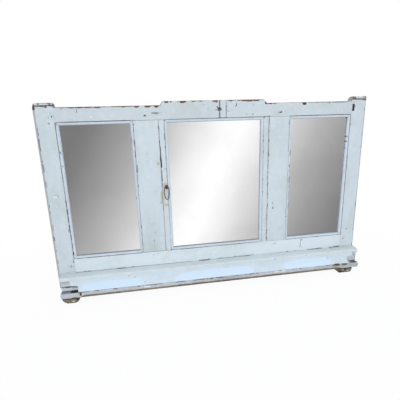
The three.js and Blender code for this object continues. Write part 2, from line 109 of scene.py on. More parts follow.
# %% A helper that adds nodes
class NodeTree:
    """Adds nodes to a tree and links them."""

    def __init__(self, tree):
        self.tree = tree

    def node(self, kind, **settings):
        """Adds a node of that kind with its settings."""
        made = self.tree.nodes.new(kind)
        for name, value in settings.items():
            setattr(made, name, value)
        return made

    def put(self, socket, value):
        """Links a node's output to the socket, or sets the socket to a number."""
        if isinstance(value, bpy.types.NodeSocket):
            self.tree.links.new(value, socket)
        elif value is not None:
            socket.default_value = value

    def math(self, operation, a, b=None, c=None):
        """Arithmetic on numbers."""
        made = self.node("ShaderNodeMath", operation=operation)
        for socket, value in zip(made.inputs, (a, b, c)):
            self.put(socket, value)
        return made.outputs[0]

    def vector(self, operation, a, b=None, output=0):
        """Arithmetic on vectors."""
        made = self.node("ShaderNodeVectorMath", operation=operation)
        self.put(made.inputs[0], a)
        self.put(made.inputs[1], b)
        return made.outputs[output]

    def split(self, vector):
        """The three coordinates of a vector."""
        made = self.node("ShaderNodeSeparateXYZ")
        self.put(made.inputs[0], vector)
        return made.outputs[0], made.outputs[1], made.outputs[2]

    def joined(self, x=0.0, y=0.0, z=0.0):
        """A vector from three coordinates."""
        made = self.node("ShaderNodeCombineXYZ")
        for socket, value in zip(made.inputs, (x, y, z)):
            self.put(socket, value)
        return made.outputs[0]

    def stretched(self, vector, scale):
        """The pattern's coordinates, scaled along each axis."""
        made = self.node("ShaderNodeMapping")
        self.put(made.inputs["Vector"], vector)
        made.inputs["Scale"].default_value = scale
        return made.outputs[0]

    def noise(self, vector, scale, detail=3.0, roughness=0.55):
        """Soft cloudy noise between about 0.2 and 0.8."""
        made = self.node("ShaderNodeTexNoise")
        self.put(made.inputs["Vector"], vector)
        self.put(made.inputs["Scale"], scale)
        self.put(made.inputs["Detail"], detail)
        self.put(made.inputs["Roughness"], roughness)
        return made.outputs[0]

    def spread(self, value, low, high, to_low=0.0, to_high=1.0):
        """Spreads low..high smoothly over to_low..to_high and stops at both ends."""
        made = self.node("ShaderNodeMapRange", interpolation_type="SMOOTHSTEP")
        for name, given in (("Value", value), ("From Min", low), ("From Max", high),
                            ("To Min", to_low), ("To Max", to_high)):
            self.put(made.inputs[name], given)
        return made.outputs[0]

    def mixed(self, share, a, b):
        """Mixes two colours."""
        made = self.node("ShaderNodeMix", data_type="RGBA")
        self.put(made.inputs[0], share)
        self.put(made.inputs[6], a)
        self.put(made.inputs[7], b)
        return made.outputs[2]

    def ramp(self, value, *stops):
        """A colour ramp from (place, colour) pairs."""
        made = self.node("ShaderNodeValToRGB")
        elements = made.color_ramp.elements
        while len(elements) < len(stops):
            elements.new(0.5)
        for element, (place, shade) in zip(elements, stops):
            element.position = place
            element.color = shade
        self.put(made.inputs[0], value)
        return made.outputs[0]

    def use(self, group, **values):
        """Places a node group with its own values."""
        made = self.node("ShaderNodeGroup", node_tree=group)
        for name, value in values.items():
            self.put(made.inputs[name], value)
        return made.outputs


def rgb(red, green, blue):
    """A colour as a paint chart gives it, 0 to 255, as the renderer wants it."""
    def linear(part):
        part = part / 255.0
        return part / 12.92 if part <= 0.04045 else ((part + 0.055) / 1.055) ** 2.4
    return linear(red), linear(green), linear(blue), 1.0


def grey(level):
    """A neutral colour, 0 to 255."""
    return rgb(level, level, level)


# %% [markdown]
# ## Studio: floor, light and what the glass reflects
#
# The floor and the world are plain white to the camera, and the floor keeps the soft shadow
# under the mirror. A mirror shows what stands in front of it, so the world behind the camera
# holds one long soft band of light that fades to grey on both sides. Only glossy rays see it.
# A direction's distance from the band is an angle: the arc sine of its dot product with the
# band's own normal.

# %% The world
BAND_NORMAL = (0.8708, 0.2721, -0.4096)
BAND_OFFSET = math.radians(1.5)
FADE_ANGLE = math.radians(25.0)
SKY_LEVEL = 0.74
SKY_TOP = rgb(240, 245, 252)
SKY_SIDE = rgb(250, 250, 251)


def make_world():
    """White to the camera, a fading band to glossy rays, soft sky light to all others."""
    world = bpy.data.worlds.new("studio")
    scene.world = world
    world.use_nodes = True
    tree = NodeTree(world.node_tree)
    world.node_tree.nodes.clear()
    direction = tree.node("ShaderNodeTexCoord").outputs["Generated"]
    unit = tree.vector("NORMALIZE", direction)
    height = tree.split(unit)[2]
    sky = tree.mixed(tree.spread(height, -0.1, 0.9), SKY_SIDE, SKY_TOP)
    away = tree.math("ARCSINE", tree.vector("DOT_PRODUCT", unit, BAND_NORMAL, output=1))
    away = tree.math("ABSOLUTE", tree.math("ADD", away, BAND_OFFSET))
    distance = tree.math("DIVIDE", away, FADE_ANGLE)
    band = tree.ramp(distance, (0.0, grey(255)), (0.06, grey(254)), (0.18, grey(241)),
                     (0.30, grey(222)), (0.42, grey(201)), (0.56, grey(180)),
                     (0.72, grey(156)), (0.92, grey(129)), (1.0, grey(123)))
    rays = tree.node("ShaderNodeLightPath").outputs
    lights = []
    for shade, strength in ((sky, SKY_LEVEL), (band, 1.1), ((1.0, 1.0, 1.0, 1.0), 1.0)):
        background = tree.node("ShaderNodeBackground")
        tree.put(background.inputs["Color"], shade)
        background.inputs["Strength"].default_value = strength
        lights.append(background.outputs[0])
    glossy = tree.node("ShaderNodeMixShader")
    seen = tree.node("ShaderNodeMixShader")
    tree.put(glossy.inputs[0], rays["Is Glossy Ray"])
    tree.put(glossy.inputs[1], lights[0])
    tree.put(glossy.inputs[2], lights[1])
    tree.put(seen.inputs[0], rays["Is Camera Ray"])
    tree.put(seen.inputs[1], glossy.outputs[0])
    tree.put(seen.inputs[2], lights[2])
    tree.put(tree.node("ShaderNodeOutputWorld").inputs[0], seen.outputs[0])
    return world


make_world()

# %% The floor
FLOOR_HALF = 30.0


def make_floor():
    """A wide pale floor: white to the camera, with a soft shadow near the mirror."""
    bpy.ops.mesh.primitive_plane_add(size=2 * FLOOR_HALF)
    floor = bpy.context.active_object
    floor.name = "floor"
    floor.visible_glossy = False
    material = bpy.data.materials.new("pale_floor")
    material.use_nodes = True
    material.node_tree.nodes.clear()
    tree = NodeTree(material.node_tree)
    place = tree.node("ShaderNodeTexCoord").outputs["Object"]
    white_share = tree.spread(tree.vector("LENGTH", place, output=1), 0.75, 1.5, 0.95, 1.0)
    white = tree.node("ShaderNodeEmission")
    white.inputs["Color"].default_value = (1.0, 1.0, 1.0, 1.0)
    matt = tree.node("ShaderNodeBsdfDiffuse")
    matt.inputs["Color"].default_value = grey(236)
    both = tree.node("ShaderNodeMixShader")
    tree.put(both.inputs[0], tree.math(
        "MULTIPLY", white_share, tree.node("ShaderNodeLightPath").outputs["Is Camera Ray"]))
    tree.put(both.inputs[1], matt.outputs[0])
    tree.put(both.inputs[2], white.outputs[0])
    tree.put(tree.node("ShaderNodeOutputMaterial").inputs[0], both.outputs[0])
    floor.data.materials.append(material)
    return floor


make_floor()

# %% The lamps
def make_lamp(name, place, aim, size, power, shade):
    """A square soft lamp at place, turned towards aim."""
    data = bpy.data.lights.new(name, "AREA")
    data.size = size
    data.energy = power
    data.color = shade[:3]
    lamp = bpy.data.objects.new(name, data)
    scene.collection.objects.link(lamp)
    lamp.location = place
    lamp.rotation_euler = (Vector(aim) - Vector(place)).to_track_quat("-Z", "Y").to_euler()
    lamp.visible_glossy = False
    return lamp


make_lamp("key", (0.0, -3.3, 0.75), (0, 0, 0.3), 2.4, 46, (1.0, 0.99, 0.975))
make_lamp("top", (0.3, -0.2, 3.2), (0, 0, 0.4), 2.4, 22, (0.96, 0.98, 1.0))
scene.view_settings.view_transform = "Standard"
print("studio ready")

# %% [markdown]
# ## Paint, bare wood and wear as node groups
#
# The same old paint lies on boards that run up and boards that run across, and the same wear
# eats the arrises of both. So each effect is a node group, made once. Place is the point in
# metres with the grain turned upright, so that one pattern serves both directions.

# %% Start a group
def new_group(name, inputs, outputs):
    """A shader group with named sockets: its helper, its given values and its results."""
    group = bpy.data.node_groups.new(name, "ShaderNodeTree")
    for label, kind, value in inputs:
        socket = group.interface.new_socket(
            label, in_out="INPUT", socket_type="NodeSocket" + kind)
        socket.default_value = value
    for label, kind in outputs:
        group.interface.new_socket(label, in_out="OUTPUT", socket_type="NodeSocket" + kind)
    tree = NodeTree(group)
    return tree, tree.node("NodeGroupInput").outputs, tree.node("NodeGroupOutput").inputs


# %% The group of old paint
def make_old_paint():
    """Chalky paint in clouds and brush strokes, with stains and dirt specks."""
    tree, given, result = new_group("old_paint", (
        ("Place", "Vector", (0.0, 0.0, 0.0)),
        ("Light", "Color", rgb(203, 214, 221)),
        ("Dark", "Color", rgb(191, 203, 206)),
        ("Pale", "Color", rgb(210, 220, 228)),
        ("Stain", "Color", rgb(196, 198, 186)),
        ("Patchiness", "Float", 0.8),
    ), (("Colour", "Color"), ("Roughness", "Float"), ("Height", "Float")))
    place = given["Place"]
    clouds = tree.noise(tree.stretched(place, (9.0, 9.0, 4.0)), 1.0, 5.0, 0.62)
    mottle = tree.noise(place, 52.0, 4.0, 0.65)
    strokes = tree.noise(tree.stretched(place, (310.0, 310.0, 12.0)), 1.0, 3.0, 0.6)
    specks = tree.noise(place, 300.0, 2.0, 0.6)
    stains = tree.noise(tree.vector("ADD", place, (3.7, 1.9, 5.3)), 11.0, 4.0, 0.6)
    cloud_share = tree.math("MULTIPLY", tree.spread(clouds, 0.42, 0.66), given["Patchiness"])
    shade = tree.mixed(cloud_share, given["Light"], given["Dark"])
    shade = tree.mixed(tree.spread(mottle, 0.5, 0.68, 0.0, 0.6), shade, given["Pale"])
    shade = tree.mixed(tree.spread(strokes, 0.52, 0.75, 0.0, 0.35), shade, given["Dark"])
    shade = tree.mixed(tree.spread(stains, 0.56, 0.76, 0.0, 0.45), shade, given["Stain"])
    shade = tree.mixed(tree.spread(specks, 0.69, 0.78, 0.0, 0.4), shade, rgb(132, 124, 112))
    tree.put(result["Colour"], shade)
    tree.put(result["Roughness"], tree.spread(mottle, 0.3, 0.7, 0.46, 0.66))
    relief = tree.math("MULTIPLY_ADD", strokes, 0.6, tree.math("MULTIPLY", mottle, 0.5))
    tree.put(result["Height"], tree.math("MULTIPLY_ADD", specks, 0.15, relief))
    return tree.tree


old_paint = make_old_paint()

# %% The group of weathered wood
def make_weathered_wood():
    """Brown softwood: rings and fibres along the grain, and dirt in the pores."""
    tree, given, result = new_group("weathered_wood", (
        ("Place", "Vector", (0.0, 0.0, 0.0)),
        ("Light", "Color", rgb(122, 90, 66)),
        ("Dark", "Color", rgb(68, 48, 38)),
    ), (("Colour", "Color"), ("Roughness", "Float"), ("Height", "Float")))
    place = given["Place"]
    rings = tree.noise(tree.stretched(place, (70.0, 70.0, 3.0)), 1.0, 4.0, 0.6)
    fibres = tree.noise(tree.stretched(place, (620.0, 620.0, 16.0)), 1.0, 2.0, 0.6)
    clouds = tree.noise(place, 24.0, 3.0, 0.6)
    tone = tree.math("MULTIPLY_ADD", rings, 0.6, tree.math("MULTIPLY", fibres, 0.4))
    shade = tree.mixed(tree.spread(tone, 0.36, 0.64), given["Light"], given["Dark"])
    shade = tree.mixed(tree.spread(clouds, 0.5, 0.7, 0.0, 0.5), shade, rgb(58, 46, 40))
    tree.put(result["Colour"], shade)
    tree.put(result["Roughness"], tree.spread(fibres, 0.3, 0.7, 0.7, 0.88))
    tree.put(result["Height"], tone)
    return tree.tree


weathered_wood = make_weathered_wood()

# %% [markdown]
# Hands and cloths rub paint off the arrises first. The bevel node tells how near a point is to
# an arris: it averages the directions of the faces within its radius, and the more this
# average leans away from the face's own direction, the nearer the arris. Two noises then break
# the worn band up, a broad one for the stretches and a fine one for its ragged rim.

# %% The group of worn arrises
def make_arris_wear():
    """One where the paint is rubbed off near an arris that isn't spared."""
    tree, given, result = new_group("arris_wear", (
        ("Place", "Vector", (0.0, 0.0, 0.0)),
        ("Reach", "Float", 0.006),
        ("Amount", "Float", 0.6),
        ("Spared", "Float", 0.0),
    ), (("Mask", "Float"),))
    place = given["Place"]
    rounded = tree.node("ShaderNodeBevel", samples=8)
    tree.put(rounded.inputs["Radius"], given["Reach"])
    own = tree.node("ShaderNodeNewGeometry").outputs["True Normal"]
    lean = tree.math("SUBTRACT", 1.0, tree.vector("DOT_PRODUCT", rounded.outputs[0], own, 1))
    lean = tree.math("MULTIPLY", lean, 3.6)
    stretches = tree.spread(tree.noise(place, 17.0, 3.0, 0.6), 0.4, 0.62)
    rim = tree.noise(place, 210.0, 3.0, 0.65)
    limit = tree.math("SUBTRACT", 1.25, tree.math("MULTIPLY", stretches, given["Amount"]))
    limit = tree.math("SUBTRACT", limit, given["Amount"])
    limit = tree.math("MULTIPLY_ADD", tree.math("SUBTRACT", rim, 0.5), 1.1, limit)
    worn = tree.spread(tree.math("SUBTRACT", lean, limit), 0.0, 0.12)
    near = tree.spread(lean, 0.08, 0.3)
    open_side = tree.math("SUBTRACT", 1.0, given["Spared"])
    tree.put(result["Mask"], tree.math("MULTIPLY", worn, tree.math("MULTIPLY", near, open_side)))
    return tree.tree


# %% [markdown]
# A nail head, a crack or a rust stain sits at one place. Each is a blunt oval on the face,
# given by its centre and half sizes, whose rim a noise makes ragged. Its distance squares both
# coordinates first, so that a long thin mark keeps its width almost to its ends.

# %% The group of one mark
def make_mark():
    """One inside a ragged blunt oval round a centre, fading to nought at its rim."""
    tree, given, result = new_group("mark", (
        ("Place", "Vector", (0.0, 0.0, 0.0)),
        ("Centre", "Vector", (0.0, 0.0, 0.0)),
        ("Stretch", "Vector", (100.0, 0.0, 100.0)),
        ("Rim", "Float", 0.0),
        ("Strength", "Float", 1.0),
    ), (("Mask", "Float"),))
    away = tree.vector("SUBTRACT", given["Place"], given["Centre"])
    away = tree.vector("MULTIPLY", away, given["Stretch"])
    away = tree.vector("LENGTH", tree.vector("MULTIPLY", away, away), output=1)
    away = tree.math("ADD", away, given["Rim"])
    inside = tree.spread(away, 1.12, 0.84)
    tree.put(result["Mask"], tree.math("MULTIPLY", inside, given["Strength"]))
    return tree.tree


arris_wear = make_arris_wear()
mark_group = make_mark()
print("groups:", [group.name for group in bpy.data.node_groups])

# %% [markdown]
# ## The marks of use
#
# Every mark is written down once: where it is, its half width and half height, and how strong
# it is. Long marks are in millimetres on the front of the frame. Small marks were read off the
# picture, so their tables end in SEEN and hold pixels, counted from its top left corner. A ray
# from the camera through such a pixel meets the front at the mark's place.

# %% From the picture to the frame
PICTURE_SIDE = 400
PICTURE_MIDDLE = PICTURE_SIDE / 2
FRAME_FRONT = 9.0
BEAD_FRONT = 10.0
PIXEL_ON_FRAME = 4.45


def on_frame(readings, front=FRAME_FRONT):
    """Marks in millimetres on an upright plane, from readings in pixels."""
    right, up, forward = camera_axes()
    focal_length = LENS / SENSOR_WIDTH * PICTURE_SIDE
    marks = []
    for across, down, half_across, half_down, strength in readings:
        sideways = (across - PICTURE_MIDDLE) / focal_length
        upwards = (PICTURE_MIDDLE - down) / focal_length
        ray = forward + sideways * right + upwards * up
        hit = 1000 * (CAMERA_PLACE + (front / 1000 - CAMERA_PLACE.y) / ray.y * ray)
        marks.append((round(hit.x, 1), round(hit.z, 1), round(half_across * PIXEL_ON_FRAME, 1),
                      round(half_down * PIXEL_ON_FRAME, 1), strength))
    return tuple(marks)


# %% Marks on upright boards
UPRIGHT_DARK_SEEN = (
    (56.3, 123.5, 0.8, 1, 0.6), (56, 126, 0.5, 1, 0.2), (60.5, 153.3, 0.5, 0.9, 0.7),
    (59.8, 152.2, 0.8, 0.8, 0.4), (62.5, 151.5, 0.5, 0.8, 0.7), (50.5, 113.2, 0.9, 0.5, 0.3),
    (51.5, 116.7, 0.5, 1, 0.8), (51.6, 118.2, 0.4, 0.5, 0.4), (53.4, 115.8, 0.4, 0.8, 0.3),
    (54.4, 118.5, 0.4, 1.6, 0.3), (48.4, 117.5, 0.5, 1.1, 0.3), (48.7, 123.6, 0.9, 0.8, 0.5),
    (50.5, 119.8, 0.5, 0.4, 0.2), (55.5, 195.7, 2.3, 0.5, 0.3), (58, 197, 0.5, 0.8, 0.3),
    (67.4, 212, 0.5, 2.8, 0.8), (73.5, 253.6, 0.5, 1.9, 0.9), (73.6, 261.6, 0.5, 1, 0.8),
    (66.3, 204, 0.45, 3.2, 0.6), (68.4, 219.5, 0.45, 3, 0.6), (69.7, 229, 0.5, 4.2, 0.7),
    (71.2, 237.5, 0.5, 3, 0.5), (72.4, 246, 0.4, 3, 0.5), (69.6, 266.4, 0.6, 0.45, 0.4),
    (71.5, 266.7, 0.45, 1.8, 0.5), (73.5, 266.4, 0.6, 0.45, 0.4), (133.4, 124.4, 0.6, 0.5, 0.7),
    (134.4, 142, 0.5, 2, 0.5), (135.4, 154, 0.45, 3, 0.5), (135.4, 156.6, 0.5, 0.7, 0.7),
    (137.3, 168.5, 0.5, 3.6, 0.6), (137.4, 171.5, 0.45, 1.2, 0.8), (131.4, 140.5, 0.5, 2.2, 0.5),
    (137.6, 178, 0.4, 2, 0.3), (147.5, 153.4, 0.7, 0.5, 0.3), (160.5, 152, 0.45, 5.5, 0.8),
    (160.6, 158.5, 0.6, 3, 0.9), (161.3, 161.5, 0.6, 3.5, 0.9), (161.4, 165.5, 0.65, 2.4, 1),
    (159.5, 143.5, 0.45, 3.5, 0.5), (162.1, 174.5, 0.45, 4.5, 0.5), (162.4, 180, 0.5, 1.3, 0.7),
    (158.3, 127.6, 0.9, 1.4, 0.2), (164.5, 120.5, 0.5, 0.5, 0.9), (164.5, 136.5, 0.45, 3, 0.5),
    (165.4, 147, 0.5, 1.3, 0.6), (136.4, 198.5, 0.5, 1, 0.5), (163.4, 208, 0.4, 3, 0.5),
    (142.5, 243, 0.5, 1.2, 0.4), (142.6, 252, 0.5, 0.8, 0.6), (155.4, 232.5, 0.5, 0.9, 0.3),
    (154.3, 240.5, 0.6, 1.3, 0.4), (154.6, 246, 0.5, 4.5, 0.1), (171.5, 249.5, 0.5, 0.5, 0.6),
    (264.4, 117.4, 0.6, 0.6, 0.8), (269.4, 121, 0.4, 3.5, 0.4), (269, 135, 0.4, 3.5, 0.2),
    (268.2, 160.5, 0.6, 1.1, 0.4), (267.4, 177.5, 0.5, 1, 0.6), (267.4, 185.5, 0.5, 0.8, 0.6),
    (267.4, 192, 0.4, 3, 0.3), (289.4, 122.3, 0.5, 2.6, 0.5), (288.3, 147, 0.4, 4.5, 0.3),
    (285.4, 216.5, 0.5, 0.6, 0.8), (285.4, 211, 0.4, 4, 0.3), (272.5, 203, 0.45, 0.9, 0.7),
    (273.3, 205.8, 0.35, 0.8, 0.5), (272.8, 207.9, 0.95, 0.9, 0.7), (353.6, 106.2, 1.35, 2.5, 1),
    (353.2, 109.2, 1.3, 1.7, 1), (355.3, 106.5, 0.7, 1.5, 0.3), (350.6, 124.5, 0.6, 1.6, 0.4),
    (346.4, 228.4, 0.7, 0.55, 0.8), (345.5, 229.3, 0.7, 0.5, 0.5), (342.4, 238.5, 0.5, 0.5, 0.5),
    (343.4, 239.4, 0.5, 0.4, 0.3), (344.4, 236.8, 0.5, 0.9, 0.2), (340, 233.4, 1, 0.5, 0.3),
    (45.5, 106.6, 0.9, 1.3, 0.8), (49.5, 105, 0.9, 1.2, 0.6), (51.5, 106.3, 0.5, 0.6, 0.6),
    (52.3, 104.3, 0.6, 0.7, 0.5), (41, 106.4, 0.9, 0.6, 0.6), (355.7, 98.4, 0.9, 0.6, 0.7),
    (353.5, 97.6, 1.2, 1.2, 0.5),
)
BEAD_DARK_SEEN = (
    (290.4, 152.5, 0.5, 3.2, 0.8), (289.5, 166, 0.6, 1.5, 0.8), (289.4, 170.5, 0.4, 2, 0.4),
    (289.4, 179.7, 0.55, 3.6, 1), (289.3, 186, 0.5, 3, 0.5), (288.4, 195, 0.45, 5, 0.3),
    (288.4, 205.8, 0.55, 3, 0.8), (288.3, 211, 0.4, 2.5, 0.5), (287.3, 222, 0.4, 9, 0.3),
    (347.4, 117.5, 0.9, 0.9, 1), (347.3, 119.3, 0.5, 1.4, 0.5), (347, 136.4, 0.95, 0.6, 0.8),
    (346.6, 141.4, 0.7, 0.7, 0.8), (345.5, 148.4, 0.5, 0.5, 0.5),
)
UPRIGHT_DARK = on_frame(UPRIGHT_DARK_SEEN) + on_frame(BEAD_DARK_SEEN, BEAD_FRONT) + (
    (654, 166, 4, 1.2, 0.6), (654, 166, 1.2, 4.5, 0.6), (337, 790, 3, 3, 0.4),
)
UPRIGHT_LINES_SEEN = (
    (39.3, 144.5, 0.8, 5, 0.5), (43.4, 168.5, 0.8, 4, 0.5), (46, 184.5, 0.8, 3, 0.4),
    (53.9, 239, 0.7, 2.5, 0.7), (53, 228, 0.6, 3, 0.4),
)
UPRIGHT_LINES = on_frame(UPRIGHT_LINES_SEEN) + (
    (-638.6, 560, 0.7, 190, 0.2), (-637.6, 250, 1, 78, 0.3), (-337.2, 560, 1, 132, 0.35),
    (-337.2, 742, 1, 18, 0.4), (-337.4, 300, 0.8, 100, 0.3), (-235, 600, 1.2, 92, 0.45),
    (-235, 240, 0.8, 60, 0.25), (-235, 742, 0.8, 22, 0.3), (-211.2, 640, 1.2, 118, 0.5),
    (-211, 380, 0.9, 130, 0.3), (222.9, 480, 0.8, 270, 0.3), (246.6, 640, 1, 120, 0.4),
    (246.6, 475, 1, 62, 0.5), (246.6, 280, 0.9, 90, 0.4), (343, 480, 0.8, 280, 0.4),
    (638.6, 560, 0.7, 200, 0.2), (638.6, 280, 0.7, 80, 0.15), (706, 640, 2, 170, 0.4),
    (706, 300, 1.6, 150, 0.35), (-649, 128, 34, 0.8, 0.45), (660, 124, 50, 0.9, 0.45),
)
UPRIGHT_WOOD_SEEN = (
    (46, 102.6, 7, 0.7, 0.6), (47, 105.6, 6, 0.6, 0.8), (48.3, 103.6, 1.8, 0.7, 0.7),
    (355, 96.8, 1.6, 0.8, 0.6), (354.5, 98.5, 2.2, 1.2, 0.8), (359.5, 98.7, 3, 0.6, 0.7),
    (364.5, 99.3, 2.2, 1, 0.9), (366.3, 98.5, 1.2, 2.5, 0.9), (364, 97.6, 2, 0.6, 0.5),
)
UPRIGHT_WOOD = on_frame(UPRIGHT_WOOD_SEEN) + (
    (-632, 595, 2.5, 4, 0.5), (-642, 318, 3, 8, 0.4), (353, 610, 2.5, 5, 0.5),
    (354, 476, 2.5, 6, 0.5), (-690, 831, 20, 3.2, 0.85), (-711, 827, 8, 11, 0.95),
    (-672, 829, 5, 4, 0.7), (668, 833, 30, 2.6, 0.8), (711, 834, 7, 7, 0.9),
)
UPRIGHT_RUST_SEEN = (
    (158.4, 163.5, 1.3, 1.3, 0.7), (166, 169, 2, 1, 0.3), (165, 185, 2.6, 2.4, 0.5),
    (162.2, 197, 1.4, 6, 0.6), (161.3, 202.6, 1.5, 1.2, 0.6), (166.5, 204.8, 2.8, 1.6, 0.5),
    (170.3, 201, 0.8, 1.6, 0.3), (354.5, 145.5, 2, 2, 0.2), (79.6, 269, 1.2, 1, 0.4),
    (155.5, 193, 3, 3, 0.1), (151, 170, 1.2, 1.2, 0.1),
)
UPRIGHT_RUST = on_frame(UPRIGHT_RUST_SEEN)
UPRIGHT_WHITE = ((-677, 469.5, 8, 4.5, 0.6),)

# %% Marks on level boards
LEVEL_DARK_SEEN = (
    (76.4, 111.2, 0.5, 1.6, 0.5), (144.7, 115.4, 0.9, 0.6, 1), (144.9, 116, 1.6, 0.9, 0.3),
    (155, 113.1, 3.6, 0.6, 0.6), (154.5, 112.4, 2.2, 0.5, 0.3), (156.5, 114, 1.6, 0.5, 0.4),
    (160, 113, 1.8, 0.35, 0.2), (182.2, 102.3, 2.2, 0.6, 1), (219.4, 109, 1.9, 1.7, 0.8),
    (219.3, 108.4, 0.8, 0.7, 1), (217.3, 106.9, 0.6, 1, 0.7), (220.4, 109.4, 1.7, 0.5, 0.8),
    (216.2, 109.8, 1.4, 0.4, 0.4), (219.6, 104, 0.5, 4, 0.8), (219.7, 114, 0.5, 4, 0.5),
    (221, 118, 1.8, 0.5, 0.4), (204, 104.6, 0.8, 0.5, 0.3), (208, 109, 1, 1.6, 0.1),
    (236.5, 104.6, 0.45, 1.4, 0.8), (235.6, 106.2, 0.7, 0.6, 0.5), (253.6, 104.6, 0.9, 0.9, 0.2),
    (246.7, 114, 0.8, 0.8, 0.3), (252.8, 114.2, 0.8, 0.5, 0.7), (228.7, 111.3, 0.9, 0.4, 0.5),
    (232, 110.2, 2, 0.3, 0.2), (280.5, 112.3, 1.4, 0.5, 1), (281.5, 111.6, 0.8, 0.5, 0.7),
    (278, 113, 1.1, 0.5, 0.3), (304.4, 104.3, 1.2, 0.7, 0.8), (216.5, 102, 1, 0.6, 0.7),
    (203.2, 118.5, 0.9, 0.4, 0.4), (253.2, 119.5, 0.7, 0.5, 0.8),
    (274.7, 243.4, 0.95, 0.55, 0.6), (272.5, 243.4, 0.5, 0.45, 0.3),
    (273.4, 244.3, 0.4, 0.4, 0.3), (153.5, 255, 0.6, 0.8, 0.3), (158.4, 253.4, 0.5, 0.6, 0.3),
    (267, 116.4, 3, 0.45, 0.5), (269.6, 116.4, 1.1, 0.5, 0.7), (61.3, 108.7, 1.3, 0.9, 0.2),
)
LEVEL_DARK = on_frame(LEVEL_DARK_SEEN) + (
    (54.9, 803, 0.8, 37, 0.15), (278, 108, 4, 2, 0.7), (425, 165, 1.1, 15, 0.8),
    (428, 178, 4.5, 3, 0.8), (423, 146, 1.8, 6, 0.75), (436, 110, 3.5, 1.6, 0.5),
    (553, 84, 3, 3, 0.4), (521, 125, 5, 2, 0.7), (-339, 64, 3, 2, 0.4), (-380, 91, 4, 2, 0.4),
    (-407, 99, 4, 2, 0.4), (600, 50, 14, 3, 0.8),
)
LEVEL_LINES_SEEN = (
    (340, 101.8, 9, 0.7, 0.7), (318, 102, 12, 0.5, 0.5), (297, 102.2, 6, 0.5, 0.5),
    (60, 107.4, 6, 0.6, 0.5), (104, 107, 5, 0.5, 0.3), (190, 100.4, 28, 0.35, 0.3),
    (343.5, 245.5, 3, 0.5, 0.7), (336, 246.4, 4.5, 0.6, 0.8), (330, 247.3, 2, 0.5, 0.5),
)
LEVEL_LINES = on_frame(LEVEL_LINES_SEEN) + (
    (-480, 768.4, 146, 1.4, 0.75), (-372, 768, 32, 1.4, 0.5), (6, 768.3, 214, 1.1, 0.6),
    (180, 768.3, 42, 1.5, 0.7), (490, 768.4, 146, 1.3, 0.75), (277, 767.4, 60, 0.7, 0.4),
    (-277, 767.4, 62, 0.8, 0.45), (-287, 187.6, 50, 1, 0.6), (-225, 187.6, 14, 1, 0.6),
    (-487, 187.2, 146, 0.8, 0.5), (6, 187.2, 214, 0.8, 0.4), (490, 187.2, 146, 0.8, 0.5),
    (298, 187.6, 46, 0.8, 0.5), (-620, 123, 34, 1, 0.9), (-585, 123.4, 16, 1.4, 0.9),
    (-520, 123, 60, 0.8, 0.8), (-440, 122.8, 22, 1.3, 0.9), (-370, 122.6, 60, 0.8, 0.85),
    (-230, 122.4, 110, 0.7, 0.7), (-60, 122.8, 26, 1.6, 0.9), (80, 122.6, 90, 0.8, 0.85),
    (150, 123, 24, 1.4, 0.9), (330, 122.4, 110, 0.6, 0.5), (500, 123, 42, 1.3, 0.95),
    (-660, 124, 30, 0.7, 0.4),
)
LEVEL_WOOD_SEEN = (
    (71.7, 107.6, 1.8, 0.8, 0.8), (76.5, 107.6, 1.8, 0.6, 0.8), (82.5, 107.4, 3, 0.5, 0.6),
    (87.5, 107.3, 3, 0.7, 0.9), (93, 107.3, 2, 0.5, 0.6), (97, 107.4, 2.4, 0.7, 0.9),
    (100, 107.6, 1, 0.5, 0.4), (114, 106.4, 3, 0.5, 0.6), (122.5, 106.3, 6, 0.6, 0.8),
    (123, 107.4, 1.3, 0.4, 0.5), (131, 106.4, 2.6, 0.5, 0.5), (136.5, 106.6, 2.2, 0.7, 0.9),
    (136.5, 107.5, 1.2, 0.5, 0.6), (147, 106.6, 2.4, 0.8, 0.8), (155, 105.4, 5, 0.5, 0.6),
    (156.2, 106.6, 1.6, 0.9, 0.9), (160.4, 104, 0.6, 1.2, 0.5), (166.2, 102, 1.9, 1, 0.8),
    (170.8, 101.6, 1, 0.8, 0.3), (179, 101.3, 1.5, 0.5, 0.5), (183.5, 101.5, 2.6, 0.8, 0.9),
    (196, 100.8, 6, 0.4, 0.3), (201.6, 101.2, 1.2, 0.6, 0.5), (215, 101, 2.6, 0.8, 0.8),
    (232.5, 100.3, 3.6, 0.5, 0.5), (243.6, 100.5, 2.2, 0.6, 0.9), (249.7, 100.6, 3, 0.8, 1),
    (256.3, 100.4, 2.6, 0.7, 1), (248, 99.6, 10, 0.4, 0.5), (262, 99.3, 2.5, 0.5, 0.5),
    (266.2, 102.2, 0.9, 1.1, 0.8), (269.8, 103.2, 2.8, 0.7, 0.8), (284, 102.4, 9, 0.45, 0.6),
    (304.5, 103.6, 1.8, 1.1, 0.9), (329.5, 102.2, 1, 1.1, 0.6),
)
LEVEL_WOOD = on_frame(LEVEL_WOOD_SEEN) + (
    (566, 52, 9, 3, 0.9), (-617, 43, 5, 9, 0.9), (-619, 52, 10, 3, 0.8),
    (-560, 53, 60, 1.4, 0.8), (-600, 56, 26, 2.2, 0.8), (-600, 48.5, 20, 1.6, 0.6),
    (-420, 51, 60, 1, 0.6), (640, 46, 14, 4, 0.9), (596, 46, 20, 4.5, 0.9),
    (-300, 48, 40, 1.4, 0.6),
)
LEVEL_WHITE = ((-500, 786, 5, 3.6, 0.5), (300, 46, 30, 3, 0.6), (-330, 44, 14, 3, 0.8))
# Painted shade in the end blocks' quirks and slots and in the crease under the nose.
SLOT_SHADE = (
    (-674, 68, 9, 2.4, 0.6), (-668, 68, 3, 2.6, 0.5), (-690, 97, 12, 2.0, 0.35),
    (-641, 64, 14, 3, 0.3), (702, 55, 12, 1.6, 0.4),
)
SLOT_WOOD = ((-654, 69.5, 9, 2.2, 0.85), (-636, 74, 3, 4, 0.4), (711, 74, 3, 9, 0.55))
